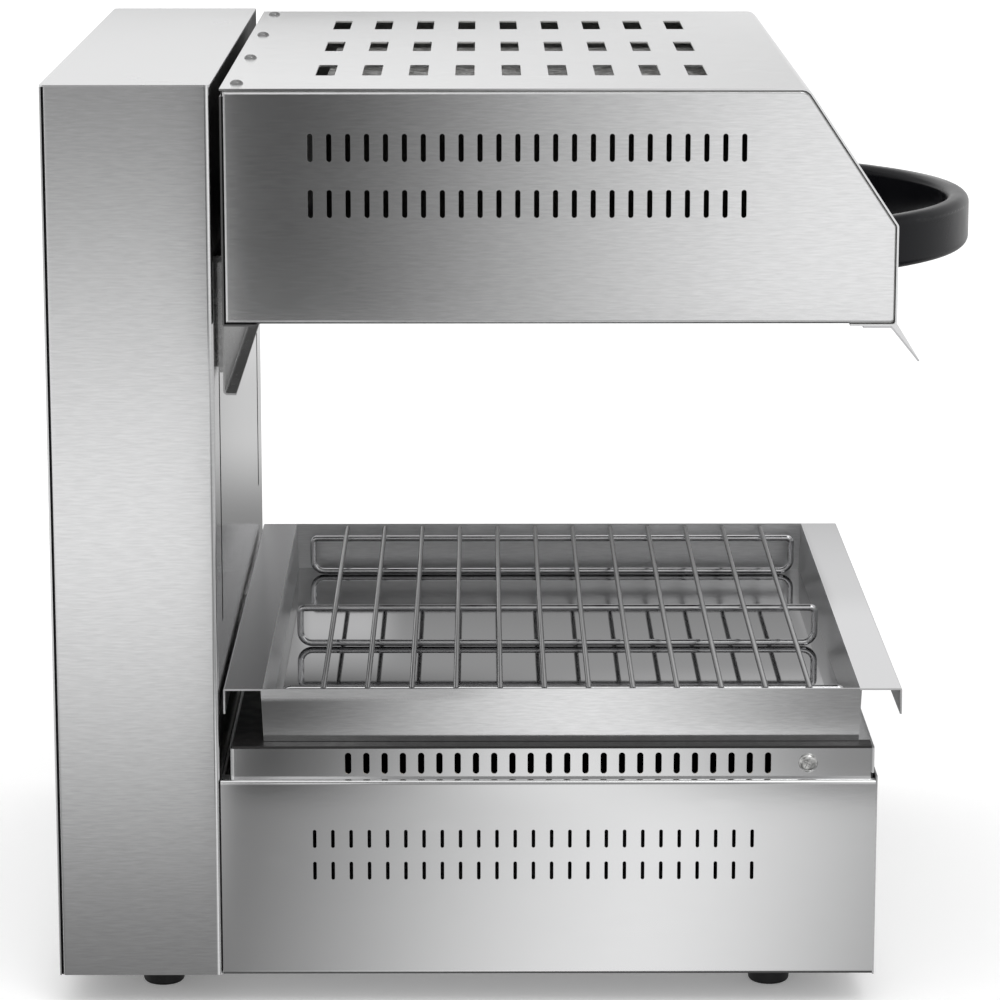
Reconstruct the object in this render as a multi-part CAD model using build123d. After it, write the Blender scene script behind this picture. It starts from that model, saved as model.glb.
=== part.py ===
from build123d import *
import math
import os

os.makedirs("parts", exist_ok=True)

# Cheese melter: a column and a base of folded sheet, and a hood that slides up and down
# the column on a counterweight.  Millimetres, +Z up, the front faces -Y.
# The origin lies on the table, under the middle of the overall box.
# "Depth" is counted forward from the rear face of the column, and x from the middle.

# ------------------------------------------------------------------ driving dimensions
# sheet metal
WIDTH = 450.0
SHEET = 1.0
BEND = 2.5
TIGHT_BEND = 0.6
FIT = 0.2
SCREW_PLAY = 0.2

# column
FOOT_HEIGHT = 18.0
COLUMN_DEPTH = 90.0
COLUMN_HEIGHT = 492.0
COLUMN_BEND = 3.0
COLUMN_RETURN = 15.0
CAP_FLANGE = 8.0
FLOOR_FLANGE = 10.0

# base
BASE_SEAM = 0.3
BASE_DEPTH = 359.5
BASE_HEIGHT = 111.5
BASE_FLANGE = 12.0
PANEL_RISE = 2.0
PANEL_FLANGE = 10.0
BULKHEAD_SHEET = 1.5
BASE_SLOT_WIDTH = 2.0
BASE_SLOT_LENGTH = 10.3
BASE_SLOT_COUNT = 25
BASE_SLOT_OFFSET = 51.2
BASE_SLOT_LOWER = 78.0
BASE_SLOT_UPPER = 96.2
SLOT_PITCH = 10.0

# plinth on the base
PLINTH_INSET = 5.0
PLINTH_REAR_GAP = 5.0
PLINTH_SETBACK = 0.3
PLINTH_HEIGHT = 16.5
PLINTH_FLANGE = 16.0
PLINTH_SLOT_WIDTH = 3.5
PLINTH_SLOT_LENGTH = 12.0
PLINTH_SLOT_COUNT = 24
PLINTH_SLOT_OFFSET = 65.0
PLINTH_SCREW_SETBACK = 36.5
DECK_SHEET = 1.0
DECK_INSET = 1.5
DECK_TONGUE = 12.5
DECK_LAP = 3.0

# drip tray and rack
TRAY_SIDE_GAP = 15.0
TRAY_COLUMN_GAP = 1.5
TRAY_SETBACK = 8.0
TRAY_HEIGHT = 30.0
TRAY_DRAFT = 2.5
TRAY_REAR_FLANGE = 20.5
TRAY_REAR_HEM = 14.0
TRAY_FRONT_FLANGE = 22.0
TRAY_FRONT_HEM = 14.5
TRAY_BEND = 0.9
RACK_WIRE = 3.0
RACK_END_GAP = 5.0
RACK_PITCH = 24.35
RACK_COUNT = 12
RACK_FIRST_OFFSET = 23.5
LOOP_WIRE = 4.0
LOOP_REAR_GAP = 10.5
LOOP_FRONT_GAP = 7.0
LOOP_RISE = 21.5
LOOP_LOWER_RADIUS = 7.0
LOOP_UPPER_RADIUS = 2.6
LOOP_INSET = 20.0

# hood
HOOD_GAP = 5.0
HOOD_DEPTH = 360.2
HOOD_HEIGHT = 127.0
HOOD_DROP = 2.0
CHAMFER_RUN = 49.0
CHAMFER_FALL = 73.0
BROW_BEND = 7.0
KNEE_BEND = 3.5
COVER_RETURN = 25.0
BACK_RETURN = 18.0
BACK_TOP_FLANGE = 15.0
SIDE_SET = 0.3
SIDE_FLANGE = 12.0
SIDE_ROUND = 1.9
HOOD_SLOT_WIDTH = 2.8
HOOD_SLOT_LENGTH = 15.0
HOOD_SLOT_COUNT = 24
HOOD_SLOT_FIRST = 47.6
HOOD_ROW_UPPER = 31.4
HOOD_ROW_LOWER = 61.3
TOP_SLOT_DEPTH = 10.5
TOP_SLOT_LENGTH = 55.0
TOP_SLOT_CORNER = 1.5
TOP_SLOT_PITCH = 25.35
TOP_SLOT_COUNT = 9
TOP_SLOT_FIRST = 53.3
TOP_SLOT_SPACING = 132.0
SKIRT_DROP = 40.0
SKIRT_LAP = 31.0
SKIRT_LIP = 7.0
SKIRT_INSET = 15.0
LIP_REACH = 12.0
LIP_SETBACK = 3.0
LIP_DROP = 19.0
LIP_LAP = 18.0

# handle
HANDLE_REACH = 63.0
HANDLE_SPAN = 255.0
HANDLE_BAND = 13.0
HANDLE_TALL = 30.0
HANDLE_ROUND = 5.5
HANDLE_BELOW_TOP = 98.0
HANDLE_SCREW_DEPTH = 8.0

# heating gear in the hood
PAN_HEIGHT = 40.0
PAN_SPLAY = 25.0
PAN_SIDE_GAP = 40.0
PAN_REAR_GAP = 19.0
PAN_FRONT_GAP = 29.0
PAN_RIM = 12.0
INSULATION_THICK = 66.0
INSULATION_INSET = 6.0
SHIELD_HEM = 10.0
HEATER_TUBE = 8.5
HEATER_PITCH = 60.0
HEATER_BELOW_RIM = 8.0
HEATER_REAR_OFFSET = 55.0
HEATER_TURN = 30.0
HEATER_TAIL = 14.0
BEAD_LENGTH = 12.0
BEAD_RADIUS = 6.0
STUD_RADIUS = 2.0
STUD_LENGTH = 5.0
HANGER_SHEET = 1.5
HANGER_SPACING = 90.0
HANGER_MARGIN = 9.0
HANGER_BELOW_TUBE = 7.6

# lift gear in the column
LIFT_TRAVEL = 140.0
ROD_RADIUS = 6.0
ROD_DEPTH = 60.0
ROD_INSET = 75.0
RUNNING = 0.05
BUSH_WALL = 2.5
BUSH_LENGTH = 18.0
HOUSING_WIDTH = 30.0
HOUSING_DEPTH = 24.0
CARRIAGE_SHEET = 3.0
CARRIAGE_HEIGHT = 60.0
CARRIAGE_BELOW_HOOD = 29.0
CARRIAGE_END_LAP = 6.0
ARM_INSET = 44.0
ARM_SHEET = 6.0
ARM_FLANGE = 24.0
ARM_FLANGE_SHEET = 2.8
ARM_SLOT_WIDTH = 8.0
ARM_SLOT_PLAY = 3.0
ARM_BOLT_RADIUS = 2.5
ARM_BOLT_PITCH = 13.0
ARM_BOLT_RISE = 9.0
BLOCK_HEIGHT = 15.0
BUFFER_HEIGHT = 12.0
BUFFER_WALL = 5.0
WEIGHT_SIDE_GAP = 85.0
WEIGHT_THICK = 32.0
WEIGHT_HEIGHT = 120.0
WEIGHT_FLOOR = 22.0
GUIDE_SHEET = 1.5
GUIDE_LAP = 12.0
GUIDE_PLAY = 0.4
PULLEY_SPACING = 100.0
PULLEY_PITCH_RADIUS = 22.0
PULLEY_WIDTH = 9.0
PULLEY_RIM = 2.5
PULLEY_BELOW_TOP = 45.0
AXLE_RADIUS = 4.0
CHEEK_SHEET = 2.5
CHEEK_HEIGHT = 36.0
CHEEK_PLAY = 0.4
CABLE_RADIUS = 1.5
ANCHOR_RADIUS = 4.0
ANCHOR_HEIGHT = 10.0
TAB_SHEET = 3.0
TAB_WIDTH = 16.0

# controls and cord entry
CONTROL_HEIGHT = 56.0
KNOB_INSET = 113.0
KNOB_RADIUS = 21.0
KNOB_LENGTH = 19.0
KNOB_FLUTES = 12
KNOB_FLUTE_RADIUS = 2.75
KNOB_WAIST = 17.2
KNOB_SKIRT = 4.0
KNOB_GAP = 1.0
KNOB_CROWN = 3.0
POINTER_WIDTH = 2.0
POINTER_RISE = 0.8
SPINDLE_RADIUS = 3.0
BUSHING_RADIUS = 5.0
BUSHING_LENGTH = 4.5
REGULATOR_WIDTH = 40.0
REGULATOR_DEPTH = 34.0
SWITCH_INSET = 43.0
SWITCH_HALF_WIDTH = 10.5
SWITCH_HALF_HEIGHT = 15.5
SWITCH_BODY_DEPTH = 24.0
BEZEL = 2.0
ROCKER_HALF_WIDTH = 6.0
ROCKER_HALF_HEIGHT = 9.0
ROCKER_REACH = 8.0
ROCKER_HEEL = 2.0
ROCKER_VALLEY = 6.8
ROCKER_SUNK = 6.0
ROCKER_WELL = 11.4
ROCKER_SWING = 20.0
LAMP_RADIUS = 6.0
LAMP_LENGTH = 24.0
LAMP_DOME = 4.0
LAMP_ROUND = 3.2
LAMP_INSET = 173.0
LAMP_PITCH = 24.0
TERMINAL_LENGTH = 60.0
TERMINAL_HEIGHT = 18.0
TERMINAL_DEPTH = 22.0
ENTRY_INSET = 43.0
ENTRY_RISE = 52.0
GLAND_BORE = 4.5
GLAND_WALL = 1.5
GLAND_RADIUS = 10.0
GLAND_REACH = 18.0

# feet and small fasteners
FOOT_RADIUS = 12.5
FOOT_TAPER = 1.2
FOOT_ROUND = 2.5
FOOT_INSET = 45.0
FOOT_REAR = 54.0
FOOT_SETBACK = 55.0
STUD_THREAD = 3.0
STUD_SUNK = 8.0
NUT_RADIUS = 5.5
NUT_HEIGHT = 5.0
BOLT_HEAD = 3.5
PAN_HEAD_RADIUS = 3.6
PAN_HEAD_RISE = 2.2
PAN_SHANK = 1.9
SIDE_HEAD_RADIUS = 5.4
SIDE_HEAD_RISE = 3.0
COVER_SCREW_DEPTH = 7.8
COVER_SCREW_INSET = 25.0
COVER_SCREW_INNER = 67.0
SCREW_LENGTH = 6.0

# ------------------------------------------------------------------ values worked out
HALF = WIDTH / 2
COLUMN_TOP = FOOT_HEIGHT + COLUMN_HEIGHT
BASE_REAR = COLUMN_DEPTH + BASE_SEAM
BASE_FRONT = BASE_REAR + BASE_DEPTH
BASE_TOP = FOOT_HEIGHT + BASE_HEIGHT
FLOOR_TOP = FOOT_HEIGHT + SHEET
PANEL_BACK = BASE_FRONT - SHEET
PLINTH_TOP = BASE_TOP + PLINTH_HEIGHT
DECK_TOP = PLINTH_TOP + DECK_SHEET
PLINTH_REAR = COLUMN_DEPTH + PLINTH_REAR_GAP
PLINTH_FRONT = PANEL_BACK - PLINTH_SETBACK
PLINTH_SLOT_FIRST = PLINTH_REAR + PLINTH_SLOT_OFFSET
PLINTH_SCREW_DEPTH = PLINTH_FRONT - PLINTH_SCREW_SETBACK
BASE_SLOT_FIRST = BASE_REAR + BASE_SLOT_OFFSET
FOOT_FRONT = BASE_FRONT - FOOT_SETBACK
TRAY_BOTTOM = DECK_TOP + FIT
TRAY_RIM = TRAY_BOTTOM + TRAY_HEIGHT
TRAY_FLOOR = TRAY_BOTTOM + SHEET
TRAY_WIDTH = WIDTH - 2 * TRAY_SIDE_GAP
TRAY_REAR = COLUMN_DEPTH + TRAY_COLUMN_GAP + TRAY_REAR_FLANGE
TRAY_FRONT = BASE_FRONT - TRAY_SETBACK
LOOP_REAR = TRAY_REAR + LOOP_REAR_GAP
LOOP_FRONT = TRAY_FRONT - LOOP_FRONT_GAP
LOOP_SPACING = TRAY_WIDTH / 2 - LOOP_INSET
RACK_LENGTH = TRAY_WIDTH - 2 * RACK_END_GAP
RACK_FIRST = LOOP_REAR + RACK_FIRST_OFFSET
LOOP_LOWER = TRAY_FLOOR + FIT + LOOP_WIRE / 2
LOOP_UPPER = LOOP_LOWER + LOOP_RISE
RACK_HEIGHT = LOOP_UPPER + (LOOP_WIRE + RACK_WIRE) / 2
HOOD_REAR = COLUMN_DEPTH + HOOD_GAP
HOOD_FRONT = HOOD_REAR + HOOD_DEPTH
HOOD_TOP = COLUMN_TOP - HOOD_DROP
HOOD_BOTTOM = HOOD_TOP - HOOD_HEIGHT
REAR_Y = (HOOD_FRONT + HANDLE_REACH - GLAND_REACH) / 2
SIDE_X = HALF - SIDE_SET
COVER_SCREW_OUTER = HALF - COVER_SCREW_INSET
PAN_HALF_WIDTH = HALF - PAN_SIDE_GAP
PAN_REAR = HOOD_REAR + PAN_REAR_GAP
PAN_FRONT = HOOD_FRONT - PAN_FRONT_GAP
PAN_SEAT = HOOD_BOTTOM + 2 * SHEET + 2 * FIT
ROOF_BOTTOM = PAN_SEAT + PAN_HEIGHT
ROOF_TOP = ROOF_BOTTOM + SHEET
SHIELD_BOTTOM = ROOF_TOP + INSULATION_THICK + 2 * FIT
HEATER_Z = PAN_SEAT + HEATER_BELOW_RIM
CARRIAGE_BOTTOM = HOOD_BOTTOM - CARRIAGE_BELOW_HOOD
CARRIAGE_TOP = CARRIAGE_BOTTOM + CARRIAGE_HEIGHT
ROD_SPACING = HALF - ROD_INSET
ARM_SPACING = HALF - ARM_INSET
CARRIAGE_SPACING = ARM_SPACING + CARRIAGE_END_LAP
CARRIAGE_BACK = ROD_DEPTH + HOUSING_DEPTH / 2
CARRIAGE_FRONT = CARRIAGE_BACK + CARRIAGE_SHEET
BUSH_RADIUS = ROD_RADIUS + BUSH_WALL
SKIRT_BACK = HOOD_REAR - SHEET
ARM_FLANGE_BACK = SKIRT_BACK - ARM_FLANGE_SHEET
WEIGHT_REAR = SHEET + GUIDE_SHEET + GUIDE_PLAY
WEIGHT_DEPTH = WEIGHT_REAR + WEIGHT_THICK / 2
WEIGHT_BOTTOM = FOOT_HEIGHT + WEIGHT_FLOOR
WEIGHT_TOP = WEIGHT_BOTTOM + WEIGHT_HEIGHT
WEIGHT_WIDTH = WIDTH - 2 * WEIGHT_SIDE_GAP
PULLEY_HEIGHT = COLUMN_TOP - PULLEY_BELOW_TOP
PULLEY_DEPTH = WEIGHT_DEPTH + PULLEY_PITCH_RADIUS
CARRIAGE_CABLE_DEPTH = PULLEY_DEPTH + PULLEY_PITCH_RADIUS
TAB_TOP = CARRIAGE_TOP - CARRIAGE_HEIGHT / 4
CONTROL_Z = FOOT_HEIGHT + CONTROL_HEIGHT
KNOB_X = HALF - KNOB_INSET
SWITCH_X = HALF - SWITCH_INSET
POWER_LAMP_X = HALF - LAMP_INSET
HEAT_LAMP_X = POWER_LAMP_X - LAMP_PITCH
ENTRY_X = HALF - ENTRY_INSET
ENTRY_Z = FOOT_HEIGHT + ENTRY_RISE
INSIDE = HALF - SHEET - FIT

# Side view: x runs forward as depth, y runs up, and the normal points to -X.
SIDE = Plane(origin=(0, REAR_Y, 0), x_dir=(0, -1, 0), z_dir=(-1, 0, 0))


# ------------------------------------------------------------------ shared helpers
def y_at(depth):
    return REAR_Y - depth


def facing(depth):
    """Plane across the width at a depth, with x to the right and z up, looking forward."""
    return Plane(origin=(0, y_at(depth), 0), x_dir=(1, 0, 0), z_dir=(0, -1, 0))


def block(x_span, depth_span, z_span):
    """Box between two x values, two depths and two heights."""
    x0, x1 = x_span
    d0, d1 = depth_span
    z0, z1 = z_span
    centre = Pos((x0 + x1) / 2, y_at((d0 + d1) / 2), (z0 + z1) / 2)
    return centre * Box(x1 - x0, d1 - d0, z1 - z0)


def upright(x, depth, z0, z1, radius):
    """Vertical cylinder."""
    return Pos(x, y_at(depth), (z0 + z1) / 2) * Cylinder(radius, z1 - z0)


def fore_aft(x, z, depth0, depth1, radius):
    """Cylinder along the depth."""
    return Pos(x, y_at((depth0 + depth1) / 2), z) * Rot(90, 0, 0) * Cylinder(radius, depth1 - depth0)


def crosswise(depth, z, x0, x1, radius):
    """Cylinder along the width."""
    return Pos((x0 + x1) / 2, y_at(depth), z) * Rot(0, 90, 0) * Cylinder(radius, x1 - x0)


def both_sides(part):
    """The part and its mirror image across the middle."""
    return part + mirror(part, about=Plane.YZ)


def hollow(face, wall):
    """Band of constant width just inside the edge of a flat face."""
    return face - offset(face, amount=-wall, kind=Kind.INTERSECTION)


def folded(points, radius):
    """Section of a sheet bent along a centreline."""
    return trace(FilletPolyline(*points, radius=radius), line_width=SHEET)


def across(section, half_width):
    """Side view section drawn out to both sides of the middle."""
    return extrude(SIDE * section, amount=half_width, both=True)


def slot_rows(first, count, pitch, heights, width, length):
    """Rows of upright round-ended slots in side view."""
    slot = Rot(0, 0, 90) * SlotOverall(length, width)
    places = [Pos(first + pitch * i, z) for z in heights for i in range(count)]
    return Sketch() + [place * slot for place in places]


def pan_screw(radius, rise, shank, length):
    """Domed screw with its seat at the origin and its head up."""
    sphere = (radius ** 2 + rise ** 2) / (2 * rise)
    dome = Pos(0, 0, rise - sphere) * Sphere(sphere)
    head = dome & Pos(0, 0, rise / 2) * Cylinder(radius + 1, rise)
    return head + Pos(0, 0, -length / 2) * Cylinder(shank, length)


# ------------------------------------------------------------------ column
def column_shell():
    """Front and sides in one fold, with returns at the rear and a slot for each lift arm."""
    plan = RectangleRounded(WIDTH, COLUMN_DEPTH - SHEET, COLUMN_BEND)
    walls = hollow(plan, SHEET)
    middle = Pos(0, y_at((COLUMN_DEPTH + SHEET) / 2), FOOT_HEIGHT)
    shell = extrude(middle * walls, amount=COLUMN_HEIGHT - SHEET)
    opening = HALF - COLUMN_RETURN
    tall = (FOOT_HEIGHT - 1, COLUMN_TOP + 1)
    shell -= block((-opening, opening), (0, 3 * SHEET), tall)
    slot_z = (CARRIAGE_BOTTOM - LIFT_TRAVEL - ARM_SLOT_PLAY, CARRIAGE_TOP + ARM_SLOT_PLAY)
    inner = ARM_SPACING - ARM_SLOT_WIDTH / 2
    outer = ARM_SPACING + ARM_SLOT_WIDTH / 2
    slot = block((inner, outer), (COLUMN_DEPTH - 2 * SHEET, COLUMN_DEPTH + 1), slot_z)
    shell -= both_sides(slot)
    for x, z in back_screw_places():
        shell -= fore_aft(x, z, 0, 3 * SHEET, PAN_SHANK + SCREW_PLAY)
    for x, z in chassis_bolt_places():
        shell -= fore_aft(x, z, COLUMN_DEPTH - 2 * SHEET, COLUMN_DEPTH + 1, ARM_BOLT_RADIUS + SCREW_PLAY)
    return shell


def column_cap():
    """Top plate with flanges that drop inside the shell."""
    plan = RectangleRounded(WIDTH, COLUMN_DEPTH, COLUMN_BEND)
    inside = offset(RectangleRounded(WIDTH, COLUMN_DEPTH - SHEET, COLUMN_BEND), amount=-SHEET - FIT)
    plate_middle = Pos(0, y_at(COLUMN_DEPTH / 2), COLUMN_TOP - SHEET)
    flange_middle = Pos(0, y_at((COLUMN_DEPTH + SHEET) / 2), COLUMN_TOP - SHEET)
    cap = extrude(plate_middle * plan, amount=SHEET)
    flange = extrude(flange_middle * hollow(inside, SHEET), amount=-CAP_FLANGE)
    returns = 2 * SHEET + 2 * FIT
    flange -= block((-HALF, HALF), (0, SHEET + returns), (COLUMN_TOP - 2 * CAP_FLANGE, COLUMN_TOP - SHEET))
    return cap + flange


def column_floor():
    """Bottom plate with flanges that rise inside the shell, and holes for two foot studs."""
    front = COLUMN_DEPTH - SHEET - FIT
    rear = 2 * SHEET + FIT
    floor = block((-INSIDE, INSIDE), (rear, front), (FOOT_HEIGHT, FLOOR_TOP))
    floor += block((-INSIDE, INSIDE), (front - SHEET, front), (FOOT_HEIGHT, FOOT_HEIGHT + FLOOR_FLANGE))
    floor += block((-INSIDE, INSIDE), (rear, rear + SHEET), (FOOT_HEIGHT, FOOT_HEIGHT + FLOOR_FLANGE))
    corners = COLUMN_BEND
    for side in (-1, 1):
        edge = (side * INSIDE - corners, side * INSIDE + corners)
        floor -= block(edge, (front - corners, COLUMN_DEPTH), (0, FOOT_HEIGHT + 2 * FLOOR_FLANGE))
        floor -= block(edge, (0, rear + corners), (0, FOOT_HEIGHT + 2 * FLOOR_FLANGE))
        floor -= upright(side * (HALF - FOOT_INSET), FOOT_REAR, 0, 2 * FOOT_HEIGHT, STUD_THREAD + SCREW_PLAY)
    return floor


def back_screw_places():
    edge = HALF - COLUMN_RETURN / 2
    heights = [FOOT_HEIGHT + COLUMN_HEIGHT * share for share in (0.08, 0.5, 0.92)]
    return [(side * edge, z) for side in (-1, 1) for z in heights]


def column_back():
    """Flat rear panel with flush screw seats and the hole for the cord gland."""
    panel = block((-HALF, HALF), (0, SHEET), (FOOT_HEIGHT, COLUMN_TOP - SHEET))
    uprights = panel.edges().filter_by(Axis.Z).group_by(Axis.Y)[-1]
    panel = chamfer(uprights, SHEET / 3)
    for x, z in back_screw_places():
        panel -= fore_aft(x, z, -1, 2 * SHEET, 2 * PAN_SHANK + SCREW_PLAY)
    return panel - fore_aft(ENTRY_X, ENTRY_Z, -1, 2 * SHEET, GLAND_BORE + GLAND_WALL + SCREW_PLAY)


def back_screws():
    """Flush screws that hold the rear panel to the shell's returns."""
    screws = []
    for x, z in back_screw_places():
        head = fore_aft(x, z, 0.1, SHEET, 2 * PAN_SHANK)
        screws.append(head + fore_aft(x, z, SHEET, SHEET + SCREW_LENGTH, PAN_SHANK))
    return Compound(children=screws)


def cord_gland():
    """Gland body and dome nut behind the rear panel, on a hollow stem with a lock nut inside."""
    thread = GLAND_BORE + GLAND_WALL
    grip = GLAND_REACH / 3
    stem = fore_aft(ENTRY_X, ENTRY_Z, -GLAND_REACH, SHEET + NUT_HEIGHT + 1, thread)
    six = Pos(ENTRY_X, ENTRY_Z) * RegularPolygon(GLAND_RADIUS, 6)
    lock = extrude(facing(SHEET) * six, amount=NUT_HEIGHT)
    body = extrude(facing(0) * six, amount=-grip)
    dome = fore_aft(ENTRY_X, ENTRY_Z, -GLAND_REACH, -grip, GLAND_RADIUS - GLAND_WALL)
    rear_rim = dome.edges().filter_by(GeomType.CIRCLE).sort_by(Axis.Y)[-1]
    dome = fillet(rear_rim, GLAND_RADIUS / 3)
    return stem + lock + body + dome - fore_aft(ENTRY_X, ENTRY_Z, -2 * GLAND_REACH, COLUMN_DEPTH, GLAND_BORE)


# ------------------------------------------------------------------ base
def base_shell():
    """Floor, sides and top returns in one fold, with vent slots in both sides."""
    section = Pos(0, FOOT_HEIGHT + BASE_HEIGHT / 2) * RectangleRounded(WIDTH, BASE_HEIGHT, BEND)
    opening = Pos(0, BASE_TOP) * Rectangle(WIDTH - 2 * BASE_FLANGE, 4 * SHEET)
    shell = extrude(facing(BASE_REAR) * (hollow(section, SHEET) - opening), amount=BASE_DEPTH - SHEET)
    heights = (BASE_SLOT_LOWER, BASE_SLOT_UPPER)
    slots = slot_rows(
        BASE_SLOT_FIRST, BASE_SLOT_COUNT, SLOT_PITCH, heights, BASE_SLOT_WIDTH, BASE_SLOT_LENGTH
    )
    shell -= across(slots, WIDTH)
    for side in (-1, 1):
        x = side * (HALF - FOOT_INSET)
        shell -= upright(x, FOOT_FRONT, 0, FLOOR_TOP + 1, STUD_THREAD + SCREW_PLAY)
    return shell


def chassis_bolt_places():
    out = HALF - FOOT_INSET
    low = FOOT_HEIGHT + BASE_HEIGHT / 4
    high = FOOT_HEIGHT + BASE_HEIGHT * 3 / 4
    return [(side * out, z) for side in (-1, 1) for z in (low, high)]


def base_bulkhead():
    """Plate that closes the rear of the base and carries it on the column."""
    high = BASE_TOP - SHEET - FIT
    rear = BASE_REAR
    corner = BEND
    plate = block((-INSIDE, INSIDE), (rear, rear + BULKHEAD_SHEET), (FLOOR_TOP + FIT, high))
    plate = chamfer(plate.edges().filter_by(Axis.Y), corner)
    for x, z in chassis_bolt_places():
        plate -= fore_aft(x, z, rear - 1, rear + 2 * BULKHEAD_SHEET, ARM_BOLT_RADIUS + SCREW_PLAY)
    return plate


def hex_bolt(x, z, head_depth, tip_depth):
    """Bolt along the depth: hexagon head that starts at one depth, tip at the other."""
    toward = 1 if head_depth > tip_depth else -1
    head = extrude(
        facing(head_depth) * Pos(x, z) * RegularPolygon(NUT_RADIUS, 6), amount=toward * BOLT_HEAD
    )
    near = min(head_depth, tip_depth)
    far = max(head_depth, tip_depth)
    return head + fore_aft(x, z, near, far, ARM_BOLT_RADIUS)


def chassis_bolts():
    """Bolts through the bulkhead and the front of the column."""
    seat = BASE_REAR + BULKHEAD_SHEET
    tip = COLUMN_DEPTH - SHEET - NUT_HEIGHT
    return Compound(children=[hex_bolt(x, z, seat, tip) for x, z in chassis_bolt_places()])


def control_panel():
    """Front panel of the base, with a flanged frame behind and holes for the controls."""
    panel = block((-SIDE_X, SIDE_X), (PANEL_BACK, BASE_FRONT), (FOOT_HEIGHT, BASE_TOP + PANEL_RISE))
    inner_height = BASE_HEIGHT - 2 * SHEET - 2 * FIT
    frame = RectangleRounded(2 * INSIDE, inner_height, BEND)
    centre = Pos(0, FOOT_HEIGHT + BASE_HEIGHT / 2)
    panel += extrude(facing(PANEL_BACK) * centre * hollow(frame, SHEET), amount=-PANEL_FLANGE)
    front = (PANEL_BACK - 1, BASE_FRONT + 1)
    panel -= fore_aft(KNOB_X, CONTROL_Z, *front, BUSHING_RADIUS + SCREW_PLAY)
    for x in (POWER_LAMP_X, HEAT_LAMP_X):
        panel -= fore_aft(x, CONTROL_Z, *front, LAMP_RADIUS - 1 + SCREW_PLAY)
    half_x = SWITCH_HALF_WIDTH - BEZEL + FIT
    half_z = SWITCH_HALF_HEIGHT - BEZEL + FIT
    panel -= block(
        (SWITCH_X - half_x, SWITCH_X + half_x), front, (CONTROL_Z - half_z, CONTROL_Z + half_z)
    )
    return panel


def terminal_block():
    """Four-way block on the floor of the base."""
    rear = BASE_REAR + BULKHEAD_SHEET + TERMINAL_DEPTH
    length = (ENTRY_X - TERMINAL_LENGTH / 2, ENTRY_X + TERMINAL_LENGTH / 2)
    ways = 4
    body = block(length, (rear, rear + TERMINAL_DEPTH), (FLOOR_TOP, FLOOR_TOP + TERMINAL_HEIGHT / 2))
    rib = (rear + TERMINAL_DEPTH / 4, rear + TERMINAL_DEPTH * 3 / 4)
    body += block(length, rib, (FLOOR_TOP, FLOOR_TOP + TERMINAL_HEIGHT))
    pitch = TERMINAL_LENGTH / ways
    for i in range(ways):
        x = length[0] + pitch * (i + 0.5)
        body -= upright(x, rear + TERMINAL_DEPTH / 2, FLOOR_TOP + TERMINAL_HEIGHT / 2, 2 * BASE_TOP, pitch / 5)
    return body


# ------------------------------------------------------------------ controls
def energy_regulator():
    """Regulator box behind the panel, with the threaded bushing that holds it there."""
    half = REGULATOR_WIDTH / 2
    box = block(
        (KNOB_X - half, KNOB_X + half),
        (PANEL_BACK - REGULATOR_DEPTH, PANEL_BACK - FIT),
        (CONTROL_Z - half, CONTROL_Z + half),
    )
    box = chamfer(box.edges().filter_by(Axis.Y), BEND)
    box += fore_aft(KNOB_X, CONTROL_Z, PANEL_BACK - 1, BASE_FRONT + BUSHING_LENGTH, BUSHING_RADIUS)
    deep = PANEL_BACK - REGULATOR_DEPTH / 2
    return box - fore_aft(KNOB_X, CONTROL_Z, deep, BASE_FRONT + KNOB_LENGTH, SPINDLE_RADIUS + RUNNING)


def regulator_spindle():
    """Shaft that the knob turns."""
    inner = PANEL_BACK - REGULATOR_DEPTH / 2 + FIT
    return fore_aft(KNOB_X, CONTROL_Z, inner, BASE_FRONT + KNOB_LENGTH - KNOB_CROWN, SPINDLE_RADIUS)


def knob():
    """Fluted knob with a skirt, hollow behind for the bushing, and a raised pointer."""
    back = BASE_FRONT + KNOB_GAP
    front = BASE_FRONT + KNOB_LENGTH
    shoulder = back + KNOB_SKIRT
    body = fore_aft(KNOB_X, CONTROL_Z, back, shoulder, KNOB_RADIUS)
    grip = fore_aft(KNOB_X, CONTROL_Z, shoulder, front, KNOB_WAIST)
    ring = KNOB_WAIST + KNOB_FLUTE_RADIUS / 2
    for i in range(KNOB_FLUTES):
        angle = 2 * math.pi * (i + 0.5) / KNOB_FLUTES
        x = KNOB_X + ring * math.cos(angle)
        z = CONTROL_Z + ring * math.sin(angle)
        grip -= fore_aft(x, z, shoulder, front + 1, KNOB_FLUTE_RADIUS)
    body += grip
    half = POINTER_WIDTH / 2
    heights = (CONTROL_Z + KNOB_WAIST / 4, CONTROL_Z + KNOB_WAIST - half)
    body += block((KNOB_X - half, KNOB_X + half), (front - 1, front + POINTER_RISE), heights)
    body -= fore_aft(KNOB_X, CONTROL_Z, back - 1, BASE_FRONT + BUSHING_LENGTH + 1, BUSHING_RADIUS + 1)
    return body - fore_aft(KNOB_X, CONTROL_Z, back - 1, front - KNOB_CROWN + FIT, SPINDLE_RADIUS + RUNNING)


def rocker_axis_depth():
    return BASE_FRONT + BEZEL - ROCKER_SUNK


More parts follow.
